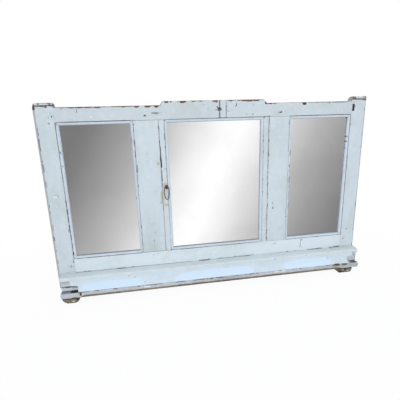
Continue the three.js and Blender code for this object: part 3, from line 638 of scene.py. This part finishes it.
# Painted shade in the hollow between the apron's end and each end block.
BOARD_TOP_SHADE = ((-643, 50, 17, 6, 1.0), (702, 50, 13, 6, 0.5))
print("marks on upright boards:", len(UPRIGHT_DARK) + len(UPRIGHT_LINES) + len(UPRIGHT_WOOD),
      "on level boards:", len(LEVEL_DARK) + len(LEVEL_LINES) + len(LEVEL_WOOD))

# %% [markdown]
# Some stretches were never rubbed: the flush joints, where nothing can catch, and the peg
# ends, which were planed off and painted over. Each is a box, the same on the left and right.

# %% Spared stretches, as (x, z, half width, half height)
SPARED = (
    (637.8, 110, 6, 76), (637.8, 796, 6, 29), (277, 188, 68, 4), (277, 767, 68, 4),
    (662.5, 796, 9, 20), (662.5, 119, 9, 40),
)


# %% [markdown]
# ## Finishes
#
# Painted wood is built from three layers: the paint, the wood that shows where the paint is
# gone, and the marks. Behind the frame nobody painted, so there the wood stays bare. Faces
# that turn sideways get a painted shade, so they are a little darker.

# %% Colours of dirt, marks and painted shade
# The colour of the painted shade on faces that turn sideways.
SIDE_SHADE = rgb(160, 156, 147)
# The colour of the painted shade on faces that look up or down.
UP_DOWN_SHADE = rgb(96, 108, 122)
CHALK_WHITE = rgb(236, 240, 241)
# The colour of painted light that the mirrors throw onto the apron.
MIRROR_LIGHT_BLUE = rgb(212, 232, 250)
RUST_STAIN = rgb(178, 166, 128)
CRACK_BROWN = rgb(66, 54, 50)
# Brown of nail holes and dirt, also used for painted shade on the end blocks and feet.
HOLE_AND_SHADE_BROWN = rgb(60, 40, 34)
BOARD_TOP_GREY = rgb(128, 132, 142)
# The colour of the painted shade in those hollows.
HOLLOW_SHADE = rgb(40, 36, 34)

# %% Where the base board is brown, clean and grey
BROWN_RIM = 0.0028
CLEAN_END = (0.60, 0.635)
CLEAN_END_LIFT = 0.0105
BASE_MIDDLE = 0.006
GREY_FROM = (0.629, 0.632)
GREY_FRONT = (-0.0395, -0.0375)


# %% Painted wood
def painted_wood(name, level=False, light=None, dark=None, pale=None, patchiness=0.8,
                 reach=0.006, amount=0.6, dark_marks=(), line_marks=(), wood_marks=(),
                 rust_marks=(), white_marks=(), mirror_light_marks=(), spared=SPARED,
                 side_shade=0.5, brown_below=None, up_down_shade=0.0, top_shade_marks=(),
                 wood_shades=None):
    """A material of old paint over wood, with worn arrises and its marks."""
    material = bpy.data.materials.new(name)
    material.use_nodes = True
    material.node_tree.nodes.clear()
    tree = NodeTree(material.node_tree)
    spot = tree.node("ShaderNodeTexCoord").outputs["Object"]
    x_place, y_place, z_place = tree.split(spot)
    place = tree.joined(z_place, y_place, x_place) if level else spot
    shades = {"Light": light, "Dark": dark, "Pale": pale}
    shades = {label: shade for label, shade in shades.items() if shade}
    paint = tree.use(old_paint, Place=place, Patchiness=patchiness, **shades)
    wood = tree.use(weathered_wood, Place=place, **(wood_shades or {}))
    fine = tree.math("SUBTRACT", tree.noise(spot, 260.0, 3.0, 0.65), 0.5)
    mirrored = tree.joined(tree.math("ABSOLUTE", x_place), 0.0, z_place)

    def marked(marks, where=spot, raggedness=1.3, rim=None):
        """The strongest of the marks at this point."""
        rim = rim or tree.math("MULTIPLY", fine, raggedness)
        total = None
        for x, z, half_x, half_z, strength in marks:
            mask = tree.use(
                mark_group, Place=where, Centre=(x / 1000, 0.0, z / 1000),
                Stretch=(1000 / half_x, 0.0, 1000 / half_z), Rim=rim, Strength=strength)["Mask"]
            total = mask if total is None else tree.math("MAXIMUM", total, mask)
        return total

    worn = None
    if amount:
        wear_values = {"Place": place, "Reach": reach, "Amount": amount}
        if spared:
            boxes = [(x, z, half_x, half_z, 1.0) for x, z, half_x, half_z in spared]
            wear_values["Spared"] = marked(boxes, where=mirrored, raggedness=0.0)
        worn = tree.use(arris_wear, **wear_values)["Mask"]
    side, face, top = tree.split(tree.node("ShaderNodeNewGeometry").outputs["True Normal"])
    behind = tree.math(
        "MULTIPLY", tree.spread(face, 0.4, 0.6), tree.spread(y_place, 0.03, 0.035))
    bare = None
    for mask in (worn, marked(wood_marks) if wood_marks else None):
        if mask is not None:
            bare = mask if bare is None else tree.math("MAXIMUM", bare, mask)
    if brown_below:
        edge = tree.math("MULTIPLY_ADD", fine, 0.006, z_place)
        edge = tree.math("MULTIPLY_ADD", tree.noise(spot, 30.0), 0.006, edge)
        clean_end = tree.spread(
            tree.math("ABSOLUTE", x_place), *CLEAN_END, 0.0, CLEAN_END_LIFT)
        edge = tree.math("ADD", edge, clean_end)
        mask = tree.spread(edge, brown_below + BROWN_RIM, brown_below)
        bare = tree.math("MAXIMUM", bare, mask)
    shade = paint["Colour"]
    # Painted light: bright patches where the mirrors throw light onto the apron.
    if mirror_light_marks:
        coarse = tree.math("SUBTRACT", tree.noise(spot, 26.0, 4.0, 0.7), 0.5)
        mirror_light = marked(mirror_light_marks, rim=tree.math("MULTIPLY_ADD", coarse, 1.1, fine))
        shade = tree.mixed(mirror_light, shade, MIRROR_LIGHT_BLUE)
    # Painted shade: faces that turn sideways are darkened.
    if side_shade:
        aside = tree.spread(tree.math("ABSOLUTE", side), 0.4, 0.8, 0.0, side_shade)
        shade = tree.mixed(aside, shade, SIDE_SHADE)
    # Painted shade: faces that look up or down are darkened, on the level beads.
    if up_down_shade:
        aside = tree.spread(tree.math("ABSOLUTE", top), 0.5, 0.9, 0.0, up_down_shade)
        shade = tree.mixed(aside, shade, UP_DOWN_SHADE)
    if white_marks:
        shade = tree.mixed(marked(white_marks), shade, CHALK_WHITE)
    if rust_marks:
        shade = tree.mixed(marked(rust_marks, raggedness=2.4), shade, RUST_STAIN)
    if bare is not None:
        shade = tree.mixed(bare, shade, wood["Colour"])
    aged = tree.use(weathered_wood, Place=place, Light=rgb(160, 126, 88), Dark=rgb(106, 78, 54))
    shade = tree.mixed(behind, shade, aged["Colour"])
    bare = behind if bare is None else tree.math("MAXIMUM", bare, behind)
    # The board's top turns grey at its ends, and painted shade darkens it in the hollow beside
    # each block.
    if top_shade_marks:
        from_middle = tree.math("ABSOLUTE", tree.math("SUBTRACT", x_place, BASE_MIDDLE))
        ends = tree.spread(from_middle, *GREY_FROM)
        up = tree.math("MULTIPLY", tree.spread(top, 0.8, 0.95), ends)
        ragged = tree.math("MULTIPLY_ADD", fine, 0.008, y_place)
        up = tree.math("MULTIPLY", up, tree.spread(ragged, *GREY_FRONT))
        shade = tree.mixed(up, shade, BOARD_TOP_GREY)
        shade = tree.mixed(tree.math("MULTIPLY", up, marked(top_shade_marks)), shade, HOLLOW_SHADE)
    if line_marks:
        shade = tree.mixed(marked(line_marks, raggedness=2.2), shade, CRACK_BROWN)
    # Dark marks: nail holes and dirt, and on the end blocks and feet painted shade.
    if dark_marks:
        shade = tree.mixed(marked(dark_marks), shade, HOLE_AND_SHADE_BROWN)
    bump = tree.node("ShaderNodeBump")
    bump.inputs["Strength"].default_value = 0.4
    bump.inputs["Distance"].default_value = 0.0006
    paint_height = tree.math("ADD", paint["Height"], 0.7)
    height = tree.math("MULTIPLY", paint_height, tree.math("SUBTRACT", 1.0, bare))
    height = tree.math("MULTIPLY_ADD", wood["Height"], bare, height)
    tree.put(bump.inputs["Height"], height)
    shader = tree.node("ShaderNodeBsdfPrincipled")
    tree.put(shader.inputs["Base Color"], shade)
    rough = tree.node("ShaderNodeMix", data_type="FLOAT")
    tree.put(rough.inputs[0], bare)
    tree.put(rough.inputs[2], paint["Roughness"])
    tree.put(rough.inputs[3], wood["Roughness"])
    tree.put(shader.inputs["Roughness"], rough.outputs[0])
    tree.put(shader.inputs["Normal"], bump.outputs[0])
    shader.inputs["Specular IOR Level"].default_value = 0.35
    tree.put(tree.node("ShaderNodeOutputMaterial").inputs[0], shader.outputs[0])
    return material


upright_paint = painted_wood(
    "upright_paint", dark_marks=UPRIGHT_DARK, line_marks=UPRIGHT_LINES, amount=0.5,
    wood_marks=UPRIGHT_WOOD, rust_marks=UPRIGHT_RUST, white_marks=UPRIGHT_WHITE)
# The top rail's paint is set darker, as painted shade, and the paints of the bottom rail, apron,
# nose and end blocks lighter, as painted light: the paint grows lighter towards the bottom.
shaded_top_paint = painted_wood(
    "shaded_top_paint", level=True, light=rgb(199, 209, 215), dark=rgb(190, 200, 203),
    pale=rgb(207, 216, 223), dark_marks=LEVEL_DARK, line_marks=LEVEL_LINES,
    wood_marks=LEVEL_WOOD, white_marks=LEVEL_WHITE)
lit_bottom_paint = painted_wood(
    "lit_bottom_paint", level=True, light=rgb(214, 226, 233), dark=rgb(204, 216, 220),
    pale=rgb(221, 231, 239), dark_marks=LEVEL_DARK, line_marks=LEVEL_LINES)
BEAD_SHADES = {"light": rgb(203, 216, 226), "dark": rgb(193, 205, 214),
               "pale": rgb(212, 224, 236)}
bead_paint_up = painted_wood(
    "bead_paint_up", reach=0.0025, amount=0.3, wood_marks=UPRIGHT_WOOD,
    dark_marks=UPRIGHT_DARK, side_shade=0.0, spared=(), **BEAD_SHADES)
# The level beads carry painted shade on their faces that look up or down.
bead_paint_level = painted_wood(
    "bead_paint_level", level=True, reach=0.0025, amount=0.3, side_shade=0.0, spared=(),
    up_down_shade=0.6, **BEAD_SHADES)
lit_base_paint = painted_wood(
    "lit_base_paint", level=True, light=rgb(208, 216, 222), dark=rgb(187, 193, 195),
    pale=rgb(220, 228, 235), reach=0.004, amount=0.3, dark_marks=SLOT_SHADE,
    wood_marks=SLOT_WOOD, spared=())
BROWN_GREY = {"Light": rgb(146, 136, 120), "Dark": rgb(94, 82, 68)}
board_paint = painted_wood(
    "board_paint", level=True, light=rgb(188, 194, 200), dark=rgb(158, 160, 160),
    pale=rgb(208, 214, 222), patchiness=1.0, reach=0.005, amount=0.55,
    dark_marks=LEVEL_DARK, wood_marks=LEVEL_WOOD, white_marks=LEVEL_WHITE, spared=(),
    brown_below=0.0375, top_shade_marks=BOARD_TOP_SHADE, wood_shades=BROWN_GREY)
# Painted light on the apron below each pane, thrown there by its mirror.
MIRROR_LIGHT_PATCHES = ((-477, 64, 133, 23, 0.85), (-13, 66, 190, 24, 0.85), (444, 68, 130, 24, 0.85))
lit_apron_paint = painted_wood(
    "lit_apron_paint", level=True, light=rgb(210, 224, 235), dark=rgb(200, 214, 223),
    pale=rgb(215, 229, 242), amount=0.0, dark_marks=LEVEL_DARK, mirror_light_marks=MIRROR_LIGHT_PATCHES,
    spared=())
lit_nose_paint = painted_wood(
    "lit_nose_paint", level=True, light=rgb(212, 222, 226), dark=rgb(202, 213, 214),
    pale=rgb(218, 228, 234), amount=0.0, dark_marks=LEVEL_DARK, line_marks=LEVEL_LINES,
    spared=())


# %% Bare wood
def bare_wood(name, level=False, light=None, dark=None):
    """Unpainted softwood, darkened by age."""
    material = bpy.data.materials.new(name)
    material.use_nodes = True
    material.node_tree.nodes.clear()
    tree = NodeTree(material.node_tree)
    place = tree.node("ShaderNodeTexCoord").outputs["Object"]
    if level:
        x, y, z = tree.split(place)
        place = tree.joined(z, y, x)
    shades = {"Light": light, "Dark": dark}
    shades = {label: shade for label, shade in shades.items() if shade}
    wood = tree.use(weathered_wood, Place=place, **shades)
    bump = tree.node("ShaderNodeBump")
    bump.inputs["Strength"].default_value = 0.5
    bump.inputs["Distance"].default_value = 0.0008
    tree.put(bump.inputs["Height"], wood["Height"])
    shader = tree.node("ShaderNodeBsdfPrincipled")
    tree.put(shader.inputs["Base Color"], wood["Colour"])
    tree.put(shader.inputs["Roughness"], wood["Roughness"])
    tree.put(shader.inputs["Normal"], bump.outputs[0])
    shader.inputs["Specular IOR Level"].default_value = 0.3
    tree.put(tree.node("ShaderNodeOutputMaterial").inputs[0], shader.outputs[0])
    return material


chip_wood = bare_wood("chip_wood", level=True, light=rgb(128, 92, 64), dark=rgb(70, 50, 38))
fillet_wood = bare_wood("fillet_wood", light=rgb(176, 140, 98), dark=rgb(120, 86, 56))
board_wood = bare_wood("board_wood", light=rgb(168, 132, 92), dark=rgb(112, 80, 52))


# %% Iron and silvered glass
def aged_iron_finish():
    """Dark iron with rust in its clouds."""
    material = bpy.data.materials.new("rusty_iron")
    material.use_nodes = True
    material.node_tree.nodes.clear()
    tree = NodeTree(material.node_tree)
    place = tree.node("ShaderNodeTexCoord").outputs["Object"]
    clouds = tree.noise(place, 160.0, 4.0, 0.65)
    fine = tree.noise(place, 900.0, 2.0, 0.6)
    rust = tree.spread(tree.math("MULTIPLY_ADD", fine, 0.3, clouds), 0.52, 0.78)
    shade = tree.mixed(rust, rgb(58, 50, 46), rgb(122, 78, 46))
    bump = tree.node("ShaderNodeBump")
    bump.inputs["Strength"].default_value = 0.5
    bump.inputs["Distance"].default_value = 0.0003
    tree.put(bump.inputs["Height"], tree.math("ADD", clouds, fine))
    shader = tree.node("ShaderNodeBsdfPrincipled")
    tree.put(shader.inputs["Base Color"], shade)
    tree.put(shader.inputs["Metallic"], tree.spread(rust, 0.1, 0.8, 0.85, 0.1))
    tree.put(shader.inputs["Roughness"], tree.spread(rust, 0.0, 1.0, 0.45, 0.85))
    tree.put(shader.inputs["Normal"], bump.outputs[0])
    tree.put(tree.node("ShaderNodeOutputMaterial").inputs[0], shader.outputs[0])
    return material


def silvered_glass():
    """A mirror: smooth silver with the faint bloom of an old pane."""
    material = bpy.data.materials.new("silvered_glass")
    material.use_nodes = True
    material.node_tree.nodes.clear()
    tree = NodeTree(material.node_tree)
    place = tree.node("ShaderNodeTexCoord").outputs["Object"]
    bloom = tree.noise(place, 5.0, 3.0, 0.5)
    specks = tree.noise(place, 420.0, 2.0, 0.6)
    shade = tree.mixed(tree.spread(bloom, 0.35, 0.7), grey(247), grey(241))
    shade = tree.mixed(tree.spread(specks, 0.74, 0.8, 0.0, 0.5), shade, rgb(120, 116, 108))
    shader = tree.node("ShaderNodeBsdfPrincipled")
    tree.put(shader.inputs["Base Color"], shade)
    shader.inputs["Metallic"].default_value = 1.0
    tree.put(shader.inputs["Roughness"], tree.spread(bloom, 0.35, 0.7, 0.02, 0.035))
    tree.put(tree.node("ShaderNodeOutputMaterial").inputs[0], shader.outputs[0])
    return material


rusty_iron = aged_iron_finish()
mirror_silver = silvered_glass()

# %% [markdown]
# ## Working on a board
#
# A board is dressed in the order of its life: its sharp arrises are eased, then knocks split
# chips off it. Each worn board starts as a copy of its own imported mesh, so it keeps its place
# and its joints. The bevel operator eases the arrises that are picked by length and angle.

# %% Helpers for modelling
def only(*objects):
    """Makes these objects the only selected ones, the last of them active."""
    if bpy.context.object and bpy.context.object.mode != "OBJECT":
        bpy.ops.object.mode_set(mode="OBJECT")
    bpy.ops.object.select_all(action="DESELECT")
    for item in objects:
        item.select_set(True)
    bpy.context.view_layer.objects.active = objects[-1]


def free_copy(node, whole_faces=True):
    """A merged copy of a node's mesh, with its flat triangles joined into whole faces."""
    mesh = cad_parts[node].data.copy()
    piece = bpy.data.objects.new("worn_" + node, mesh)
    scene.collection.objects.link(piece)
    only(piece)
    bpy.ops.mesh.customdata_custom_splitnormals_clear()
    bpy.ops.object.mode_set(mode="EDIT")
    bpy.ops.mesh.select_all(action="SELECT")
    bpy.ops.mesh.remove_doubles(threshold=1e-5)
    if whole_faces:
        bpy.ops.mesh.dissolve_limited(angle_limit=math.radians(0.6))
    bpy.ops.object.mode_set(mode="OBJECT")
    return piece


def read_table(table, at):
    """Reads a value off a table of (place, value) pairs, straight between the pairs."""
    if at <= table[0][0]:
        return table[0][1]
    for (low, first), (high, last) in zip(table, table[1:]):
        if at <= high:
            return first + (last - first) * (at - low) / (high - low)
    return table[-1][1]


def ease(piece, width, least=0.009, sharp=24.0, where=None, segments=2):
    """Bevels the outer arrises that are long and sharp enough and pass the where test."""
    only(piece)
    bpy.ops.object.mode_set(mode="EDIT")
    bpy.ops.mesh.select_mode(type="EDGE")
    bpy.ops.mesh.select_all(action="DESELECT")
    shape = bmesh.from_edit_mesh(piece.data)
    picked = 0
    for edge in shape.edges:
        if len(edge.link_faces) != 2 or edge.calc_length() < least:
            continue
        if edge.calc_face_angle_signed() < math.radians(sharp):
            continue
        start, end = (corner.co for corner in edge.verts)
        if where and not where(start, end):
            continue
        edge.select = True
        picked += 1
    bmesh.update_edit_mesh(piece.data)
    if picked:
        bpy.ops.mesh.bevel(offset=width, segments=segments, affect="EDGES",
                           clamp_overlap=False)
    bpy.ops.object.mode_set(mode="OBJECT")
    return picked


# %% Chips
def chip_cutter(chips, seed):
    """One object of irregular lumps, each (centre, half sizes) in millimetres."""
    chance = random.Random(seed)
    shape = bmesh.new()
    for centre, half in chips:
        turn = Matrix.Rotation(chance.uniform(-0.25, 0.25), 4, "Y")
        matrix = Matrix.Translation(Vector(centre) / 1000) @ turn
        lump = bmesh.ops.create_icosphere(shape, subdivisions=2, radius=1.0)["verts"]
        for corner in lump:
            swell = chance.uniform(0.74, 1.14)
            corner.co = matrix @ Vector([part * size / 1000 * swell
                                         for part, size in zip(corner.co, half)])
    mesh = bpy.data.meshes.new("chips")
    shape.to_mesh(mesh)
    shape.free()
    mesh.materials.append(chip_wood)
    cutter = bpy.data.objects.new("chips", mesh)
    scene.collection.objects.link(cutter)
    return cutter


def chip(piece, chips, seed=1):
    """Splits the chips off the piece; the cut faces keep the colour of bare wood."""
    cutter = chip_cutter(chips, seed)
    cut = piece.modifiers.new("chips", "BOOLEAN")
    cut.operation = "DIFFERENCE"
    cut.solver = "EXACT"
    cut.use_self = True
    cut.material_mode = "TRANSFER"
    cut.object = cutter
    only(piece)
    bpy.ops.object.modifier_apply(modifier=cut.name)
    bpy.data.objects.remove(cutter)


def along(seed, start, end, count, length=(4, 12), depth=(1.0, 2.2), height=(1.0, 3.0)):
    """Chips strewn at random along a line, in millimetres."""
    chance = random.Random(seed)
    start, end = Vector(start), Vector(end)
    step = (end - start).normalized()
    made = []
    for _ in range(count):
        centre = start.lerp(end, chance.random())
        half_length = chance.uniform(*length)
        half_depth = chance.uniform(*depth)
        half_height = chance.uniform(*height)
        if abs(step.z) > 0.5:
            half = (half_height, half_depth, half_length)
        else:
            half = (half_length, half_depth, half_height)
        made.append((tuple(centre), half))
    return made


def finish_piece(piece, node, material, body="mirror_frame", smooth=32.0):
    """Gives the piece its finish, its smooth shading and its body, and hides the imported node.
    """
    piece.data.materials[0] = material
    only(piece)
    bpy.ops.object.shade_smooth_by_angle(angle=math.radians(smooth))
    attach(piece, body)
    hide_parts(node)
    shape = bmesh.new()
    shape.from_mesh(piece.data)
    loose = sum(1 for edge in shape.edges if len(edge.link_faces) != 2)
    print(piece.name, "faces", len(piece.data.polygons), "open edges", loose,
          "volume ml", round(shape.calc_volume() * 1e6, 1))
    shape.free()


# %% [markdown]
# ## The frame's boards
#
# The stiles, rails and posts are pegged together flush, so their arrises are eased only where
# a hand can reach them, and never along a joint. The top rail's left shoulder sits a little
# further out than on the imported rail, so that part of its copy is moved.

# %% Which arrises are free
STILE_JOINT = 0.6378
JOINT_TOLERANCE = 0.0004
RAIL_REACH = 0.6372


def off_joint_side(start, end):
    """False for an arris that lies on a joint between a stile and what meets it."""
    gaps = [abs(abs(corner.x) - STILE_JOINT) for corner in (start, end)]
    return max(gaps) >= JOINT_TOLERANCE


def outside_tenons(start, end):
    """False for an arris on a rail's shoulder or tenon."""
    return max(abs(start.x), abs(end.x)) < RAIL_REACH


# %% Stiles
LEFT_STILE_CHIPS = [
    ((-717, 14, 826), (3, 6, 8)), ((-650, 18, 844), (6, 5, 3)), ((-690, 12, 838), (6, 3, 2.4)),
] + along(3, (-717, 11, 60), (-717, 11, 830), 16) + along(4, (-705, 9, 60), (-705, 9, 790), 14,
                                                         depth=(0.8, 1.5), height=(1, 2))
RIGHT_STILE_CHIPS = [
    ((717, 14, 836), (3, 6, 7)), ((700, 14, 846), (7, 4, 3)), ((646, 16, 847), (5, 6, 3)),
] + along(5, (717, 11, 60), (717, 11, 830), 16) + along(6, (705, 9, 60), (705, 9, 830), 10,
                                                       depth=(0.8, 1.5), height=(1, 2))
for node, chips, seed in (("left_stile", LEFT_STILE_CHIPS, 11),
                          ("right_stile", RIGHT_STILE_CHIPS, 12)):
    stile = free_copy(node)
    ease(stile, 0.0015, where=off_joint_side)
    chip(stile, chips, seed)
    finish_piece(stile, node, upright_paint)

# %% Top rail and its patch
TOP_EDGE = (
    (-580, 14, 3, 825), (-550, 18, 3.5, 825), (-520, 14, 3, 825), (-410, 18, 3, 825),
    (-375, 16, 3.5, 825), (-328, 12, 4.5, 825), (-279, 14, 6, 825), (-247, 11, 6, 825),
    (-207, 10, 5, 840.5), (-187, 5, 4, 840.5), (-137, 15, 6.5, 840.5), (-88, 16, 3, 840.5),
    (-65, 10, 3, 840.5), (0, 13, 6.5, 840.5), (60, 16, 4, 840.5),
    (104, 10, 3.5, 840.5), (125, 14, 4.5, 840.5), (150, 14, 3, 840.5), (170, 12, 5, 840.5),
    (190, 8, 4, 840.5), (226, 8, 5, 825), (245, 10, 5, 825),
    (262, 8, 4, 825), (401, 11, 8, 825),
)
RAIL_CHIPS = [((x + 7.8, 9.0, top + 0.5), (half, 3.6, 1.35 * drop))
              for x, half, drop, top in TOP_EDGE]
RAIL_CHIPS += along(21, (435, 9, 825), (605, 9, 825), 10, length=(8, 16), height=(1.4, 2.4))
RAIL_CHIPS += along(22, (-600, 9, 825), (-240, 9, 825), 10, length=(6, 14), height=(1, 2))
RAIL_TOP = 0.8255
LEFT_SHOULDER = (-0.25, -0.18)
SHOULDER_SHIFT = 0.006
rail = free_copy("top_rail")
for corner in rail.data.vertices:
    if corner.co.z > RAIL_TOP and LEFT_SHOULDER[0] < corner.co.x < LEFT_SHOULDER[1]:
        corner.co.x -= SHOULDER_SHIFT
ease(rail, 0.0015, where=outside_tenons)
chip(rail, RAIL_CHIPS, 13)
finish_piece(rail, "top_rail", shaded_top_paint)
patch = free_copy("top_rail_patch")
ease(patch, 0.0007, least=0.02)
chip(patch, [((31, 9, 841), (9, 2, 2.5)), ((50, 9, 767), (6, 2, 2))], 14)
finish_piece(patch, "top_rail_patch", shaded_top_paint)

# %% Bottom rail, posts and filler strips
rail = free_copy("bottom_rail")
ease(rail, 0.0012, where=outside_tenons)
chip(rail, along(23, (-630, 9, 124), (630, 9, 124), 12, height=(0.8, 1.6)), 15)
finish_piece(rail, "bottom_rail", lit_bottom_paint)


for node, face, seed in (("left_post", -338.2, 31), ("right_post", 247.3, 32)):
    post = free_copy(node)
    ease(post, 0.0015, least=0.1)
    chip(post, along(seed, (face, 9, 200), (face, 9, 750), 12, length=(4, 14)), seed)
    finish_piece(post, node, upright_paint)
for node, face, seed in (("left_filler_strip", -210, 33), ("right_filler_strip", 222, 34)):
    strip = free_copy(node)
    ease(strip, 0.0012, least=0.1)
    chip(strip, along(seed, (face, 9.6, 200), (face, 9.6, 750), 10, height=(0.8, 1.8)), seed)
    finish_piece(strip, node, upright_paint)

# %% Glazing beads
bead_number = 0
for pane in ("left", "middle", "right"):
    for side in ("left", "right", "top", "bottom"):
        node = pane + "_pane_" + side + "_bead"
        low, high = (corner * 1000 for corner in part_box(node))
        bead = free_copy(node)
        ease(bead, 0.0008, least=0.2)
        bead_number += 1
        if side in ("left", "right"):
            edge = high.x if side == "left" else low.x
            chips = along(40 + bead_number, (edge, 10.2, low.z + 20), (edge, 10.2, high.z - 20),
                          5, length=(3, 8), depth=(0.8, 1.6), height=(0.8, 1.8))
            finish = bead_paint_up
        else:
            edge = low.z if side == "top" else high.z
            chips = along(40 + bead_number, (low.x + 20, 10.2, edge), (high.x - 20, 10.2, edge),
                          5, length=(3, 8), depth=(0.8, 1.6), height=(0.8, 1.8))
            finish = bead_paint_level
        chip(bead, chips, 60 + bead_number)
        finish_piece(bead, node, finish)

# %% [markdown]
# ## The base
#
# The base is a small moulded shelf: a rounded nose under the frame, an apron with a hollow
# face, a profiled block at each end, and a board on two feet. The copies of the apron and the
# blocks are also reshaped a little: a table gives the place of the apron's end at each height,
# and another gives the new height of each step in a block.

# %% The base
NOSE_FOOT = 0.108
APRON_EASED_BELOW = 0.09


def above_apron(start, end):
    """False for the nose's lower arris, which meets the apron."""
    return min(start.z, end.z) > NOSE_FOOT


def low_on_apron(start, end):
    """False for the apron's upper arrises, which meet the nose."""
    return max(start.z, end.z) < APRON_EASED_BELOW


nose = free_copy("shelf_nose_moulding")
ease(nose, 0.001, least=0.015, where=above_apron)
chip(nose, along(71, (-690, -29, 116), (700, -29, 116), 5, length=(3, 6), depth=(0.6, 1.0),
                 height=(0.8, 1.6)), 71)
finish_piece(nose, "shelf_nose_moulding", lit_nose_paint)
APRON_LEFT_END = (
    (50, -627), (74.5, -626.5), (76.7, -629), (79.5, -653), (83, -657), (92, -659), (106, -659))
APRON_RIGHT_END = (
    (50, 673), (57, 664), (63, 659), (70, 655.5), (78, 655), (82.5, 657), (85, 671), (89, 688),
    (92, 690), (98, 683), (105, 674), (106, 674))
APRON_END_STARTS = (-0.62, 0.632)
apron = free_copy("apron")
for corner in apron.data.vertices:
    if corner.co.x < APRON_END_STARTS[0]:
        corner.co.x = read_table(APRON_LEFT_END, corner.co.z * 1000) / 1000
    elif corner.co.x > APRON_END_STARTS[1]:
        corner.co.x = read_table(APRON_RIGHT_END, corner.co.z * 1000) / 1000
ease(apron, 0.0008, least=0.05, where=low_on_apron)
chip(apron, along(72, (-600, -36, 56), (610, -36, 56), 8, height=(0.8, 1.8)), 72)
finish_piece(apron, "apron", lit_apron_paint)
BLOCK_LEVELS = {
    "left_end_block": (
        (0, 0), (50.3, 50.3), (51.7, 50.8), (53.2, 51.6), (73.7, 66), (77.7, 70), (94.7, 94.7),
        (98, 98)),
    "right_end_block": (
        (0, 0), (50.3, 50.3), (51.7, 51.2), (53.2, 52.4), (73.7, 82.5), (77.7, 86), (94.7, 95.4),
        (98, 98)),
}
for node, side, seed in (("left_end_block", -700, 73), ("right_end_block", 712, 74)):
    block = free_copy(node)
    for corner in block.data.vertices:
        corner.co.z = read_table(BLOCK_LEVELS[node], corner.co.z * 1000) / 1000
    ease(block, 0.0008, least=0.012)
    chip(block, along(seed, (side, -18, 54), (side, -18, 96), 4, length=(2, 4)), seed)
    finish_piece(block, node, lit_base_paint)
board = free_copy("base_board")
ease(board, 0.0012, least=0.02)
BOARD_CHIPS = along(75, (-690, -40, 26), (700, -40, 26), 34, length=(6, 22), depth=(1.2, 2.6),
                    height=(1.2, 3.4))
BOARD_CHIPS += along(76, (-690, -38, 49), (700, -38, 49), 26, length=(6, 20), depth=(1.0, 2.4),
                     height=(1.0, 2.6))
BOARD_CHIPS += [((-617, -41, 43), (4, 4, 8)), ((-700, -38, 30), (4, 5, 6)),
                ((712, -38, 30), (4, 5, 6))]
chip(board, BOARD_CHIPS, 75)
finish_piece(board, "base_board", board_paint)
# The long dark marks along the top of each foot are painted shade under the board.
foot_paint = painted_wood(
    "foot_paint", level=True, light=rgb(124, 118, 102), dark=rgb(92, 86, 66),
    pale=rgb(140, 136, 120), patchiness=1.0, reach=0.008, amount=0.6, spared=(),
    dark_marks=((-660, 22.5, 40, 2.5, 0.9), (-630, 15, 9, 8, 0.85), (647, 22.5, 40, 2.5, 0.9),
                (622, 6, 8, 5, 0.9), (650, 16, 7, 5, 0.7)),
    white_marks=((-652, 9, 7, 2.6, 0.6), (636, 14, 6, 3, 0.3), (664, 8, 9, 3, 0.4)))
for node, seed in (("left_foot", 77), ("right_foot", 78)):
    low, high = (corner * 1000 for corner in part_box(node))
    foot = free_copy(node)
    ease(foot, 0.0015, least=0.012)
    chip(foot, along(seed, (low.x + 8, -35, 3), (high.x - 8, -35, 3), 5, length=(3, 8),
                     depth=(1, 3)), seed)
    finish_piece(foot, node, foot_paint)

# %% [markdown]
# ## Iron staple and drop ring
#
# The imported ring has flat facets, and subdivision rounds them off. The staple keeps its packed
# mesh and takes the same iron.

# %% Ring and staple
def rounded_iron(node, body, levels):
    """A rounder copy of an iron node."""
    piece = free_copy(node, whole_faces=False)
    round_off = piece.modifiers.new("round", "SUBSURF")
    round_off.levels = levels
    round_off.render_levels = levels
    only(piece)
    bpy.ops.object.modifier_apply(modifier=round_off.name)
    finish_piece(piece, node, rusty_iron, body, smooth=60.0)
    return piece


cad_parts["ring_staple"].material_slots[0].material = rusty_iron
rounded_iron("drop_ring", "drop_ring", 1)

# %% The nodes that stay as packed
for node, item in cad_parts.items():
    if node.endswith("_mirror"):
        item.material_slots[0].material = mirror_silver
    elif node.endswith("_backboard"):
        item.material_slots[0].material = board_wood
    elif node.endswith("_fillet"):
        item.material_slots[0].material = fillet_wood
    elif "_peg_" in node:
        item.material_slots[0].material = upright_paint
print("finishes placed")
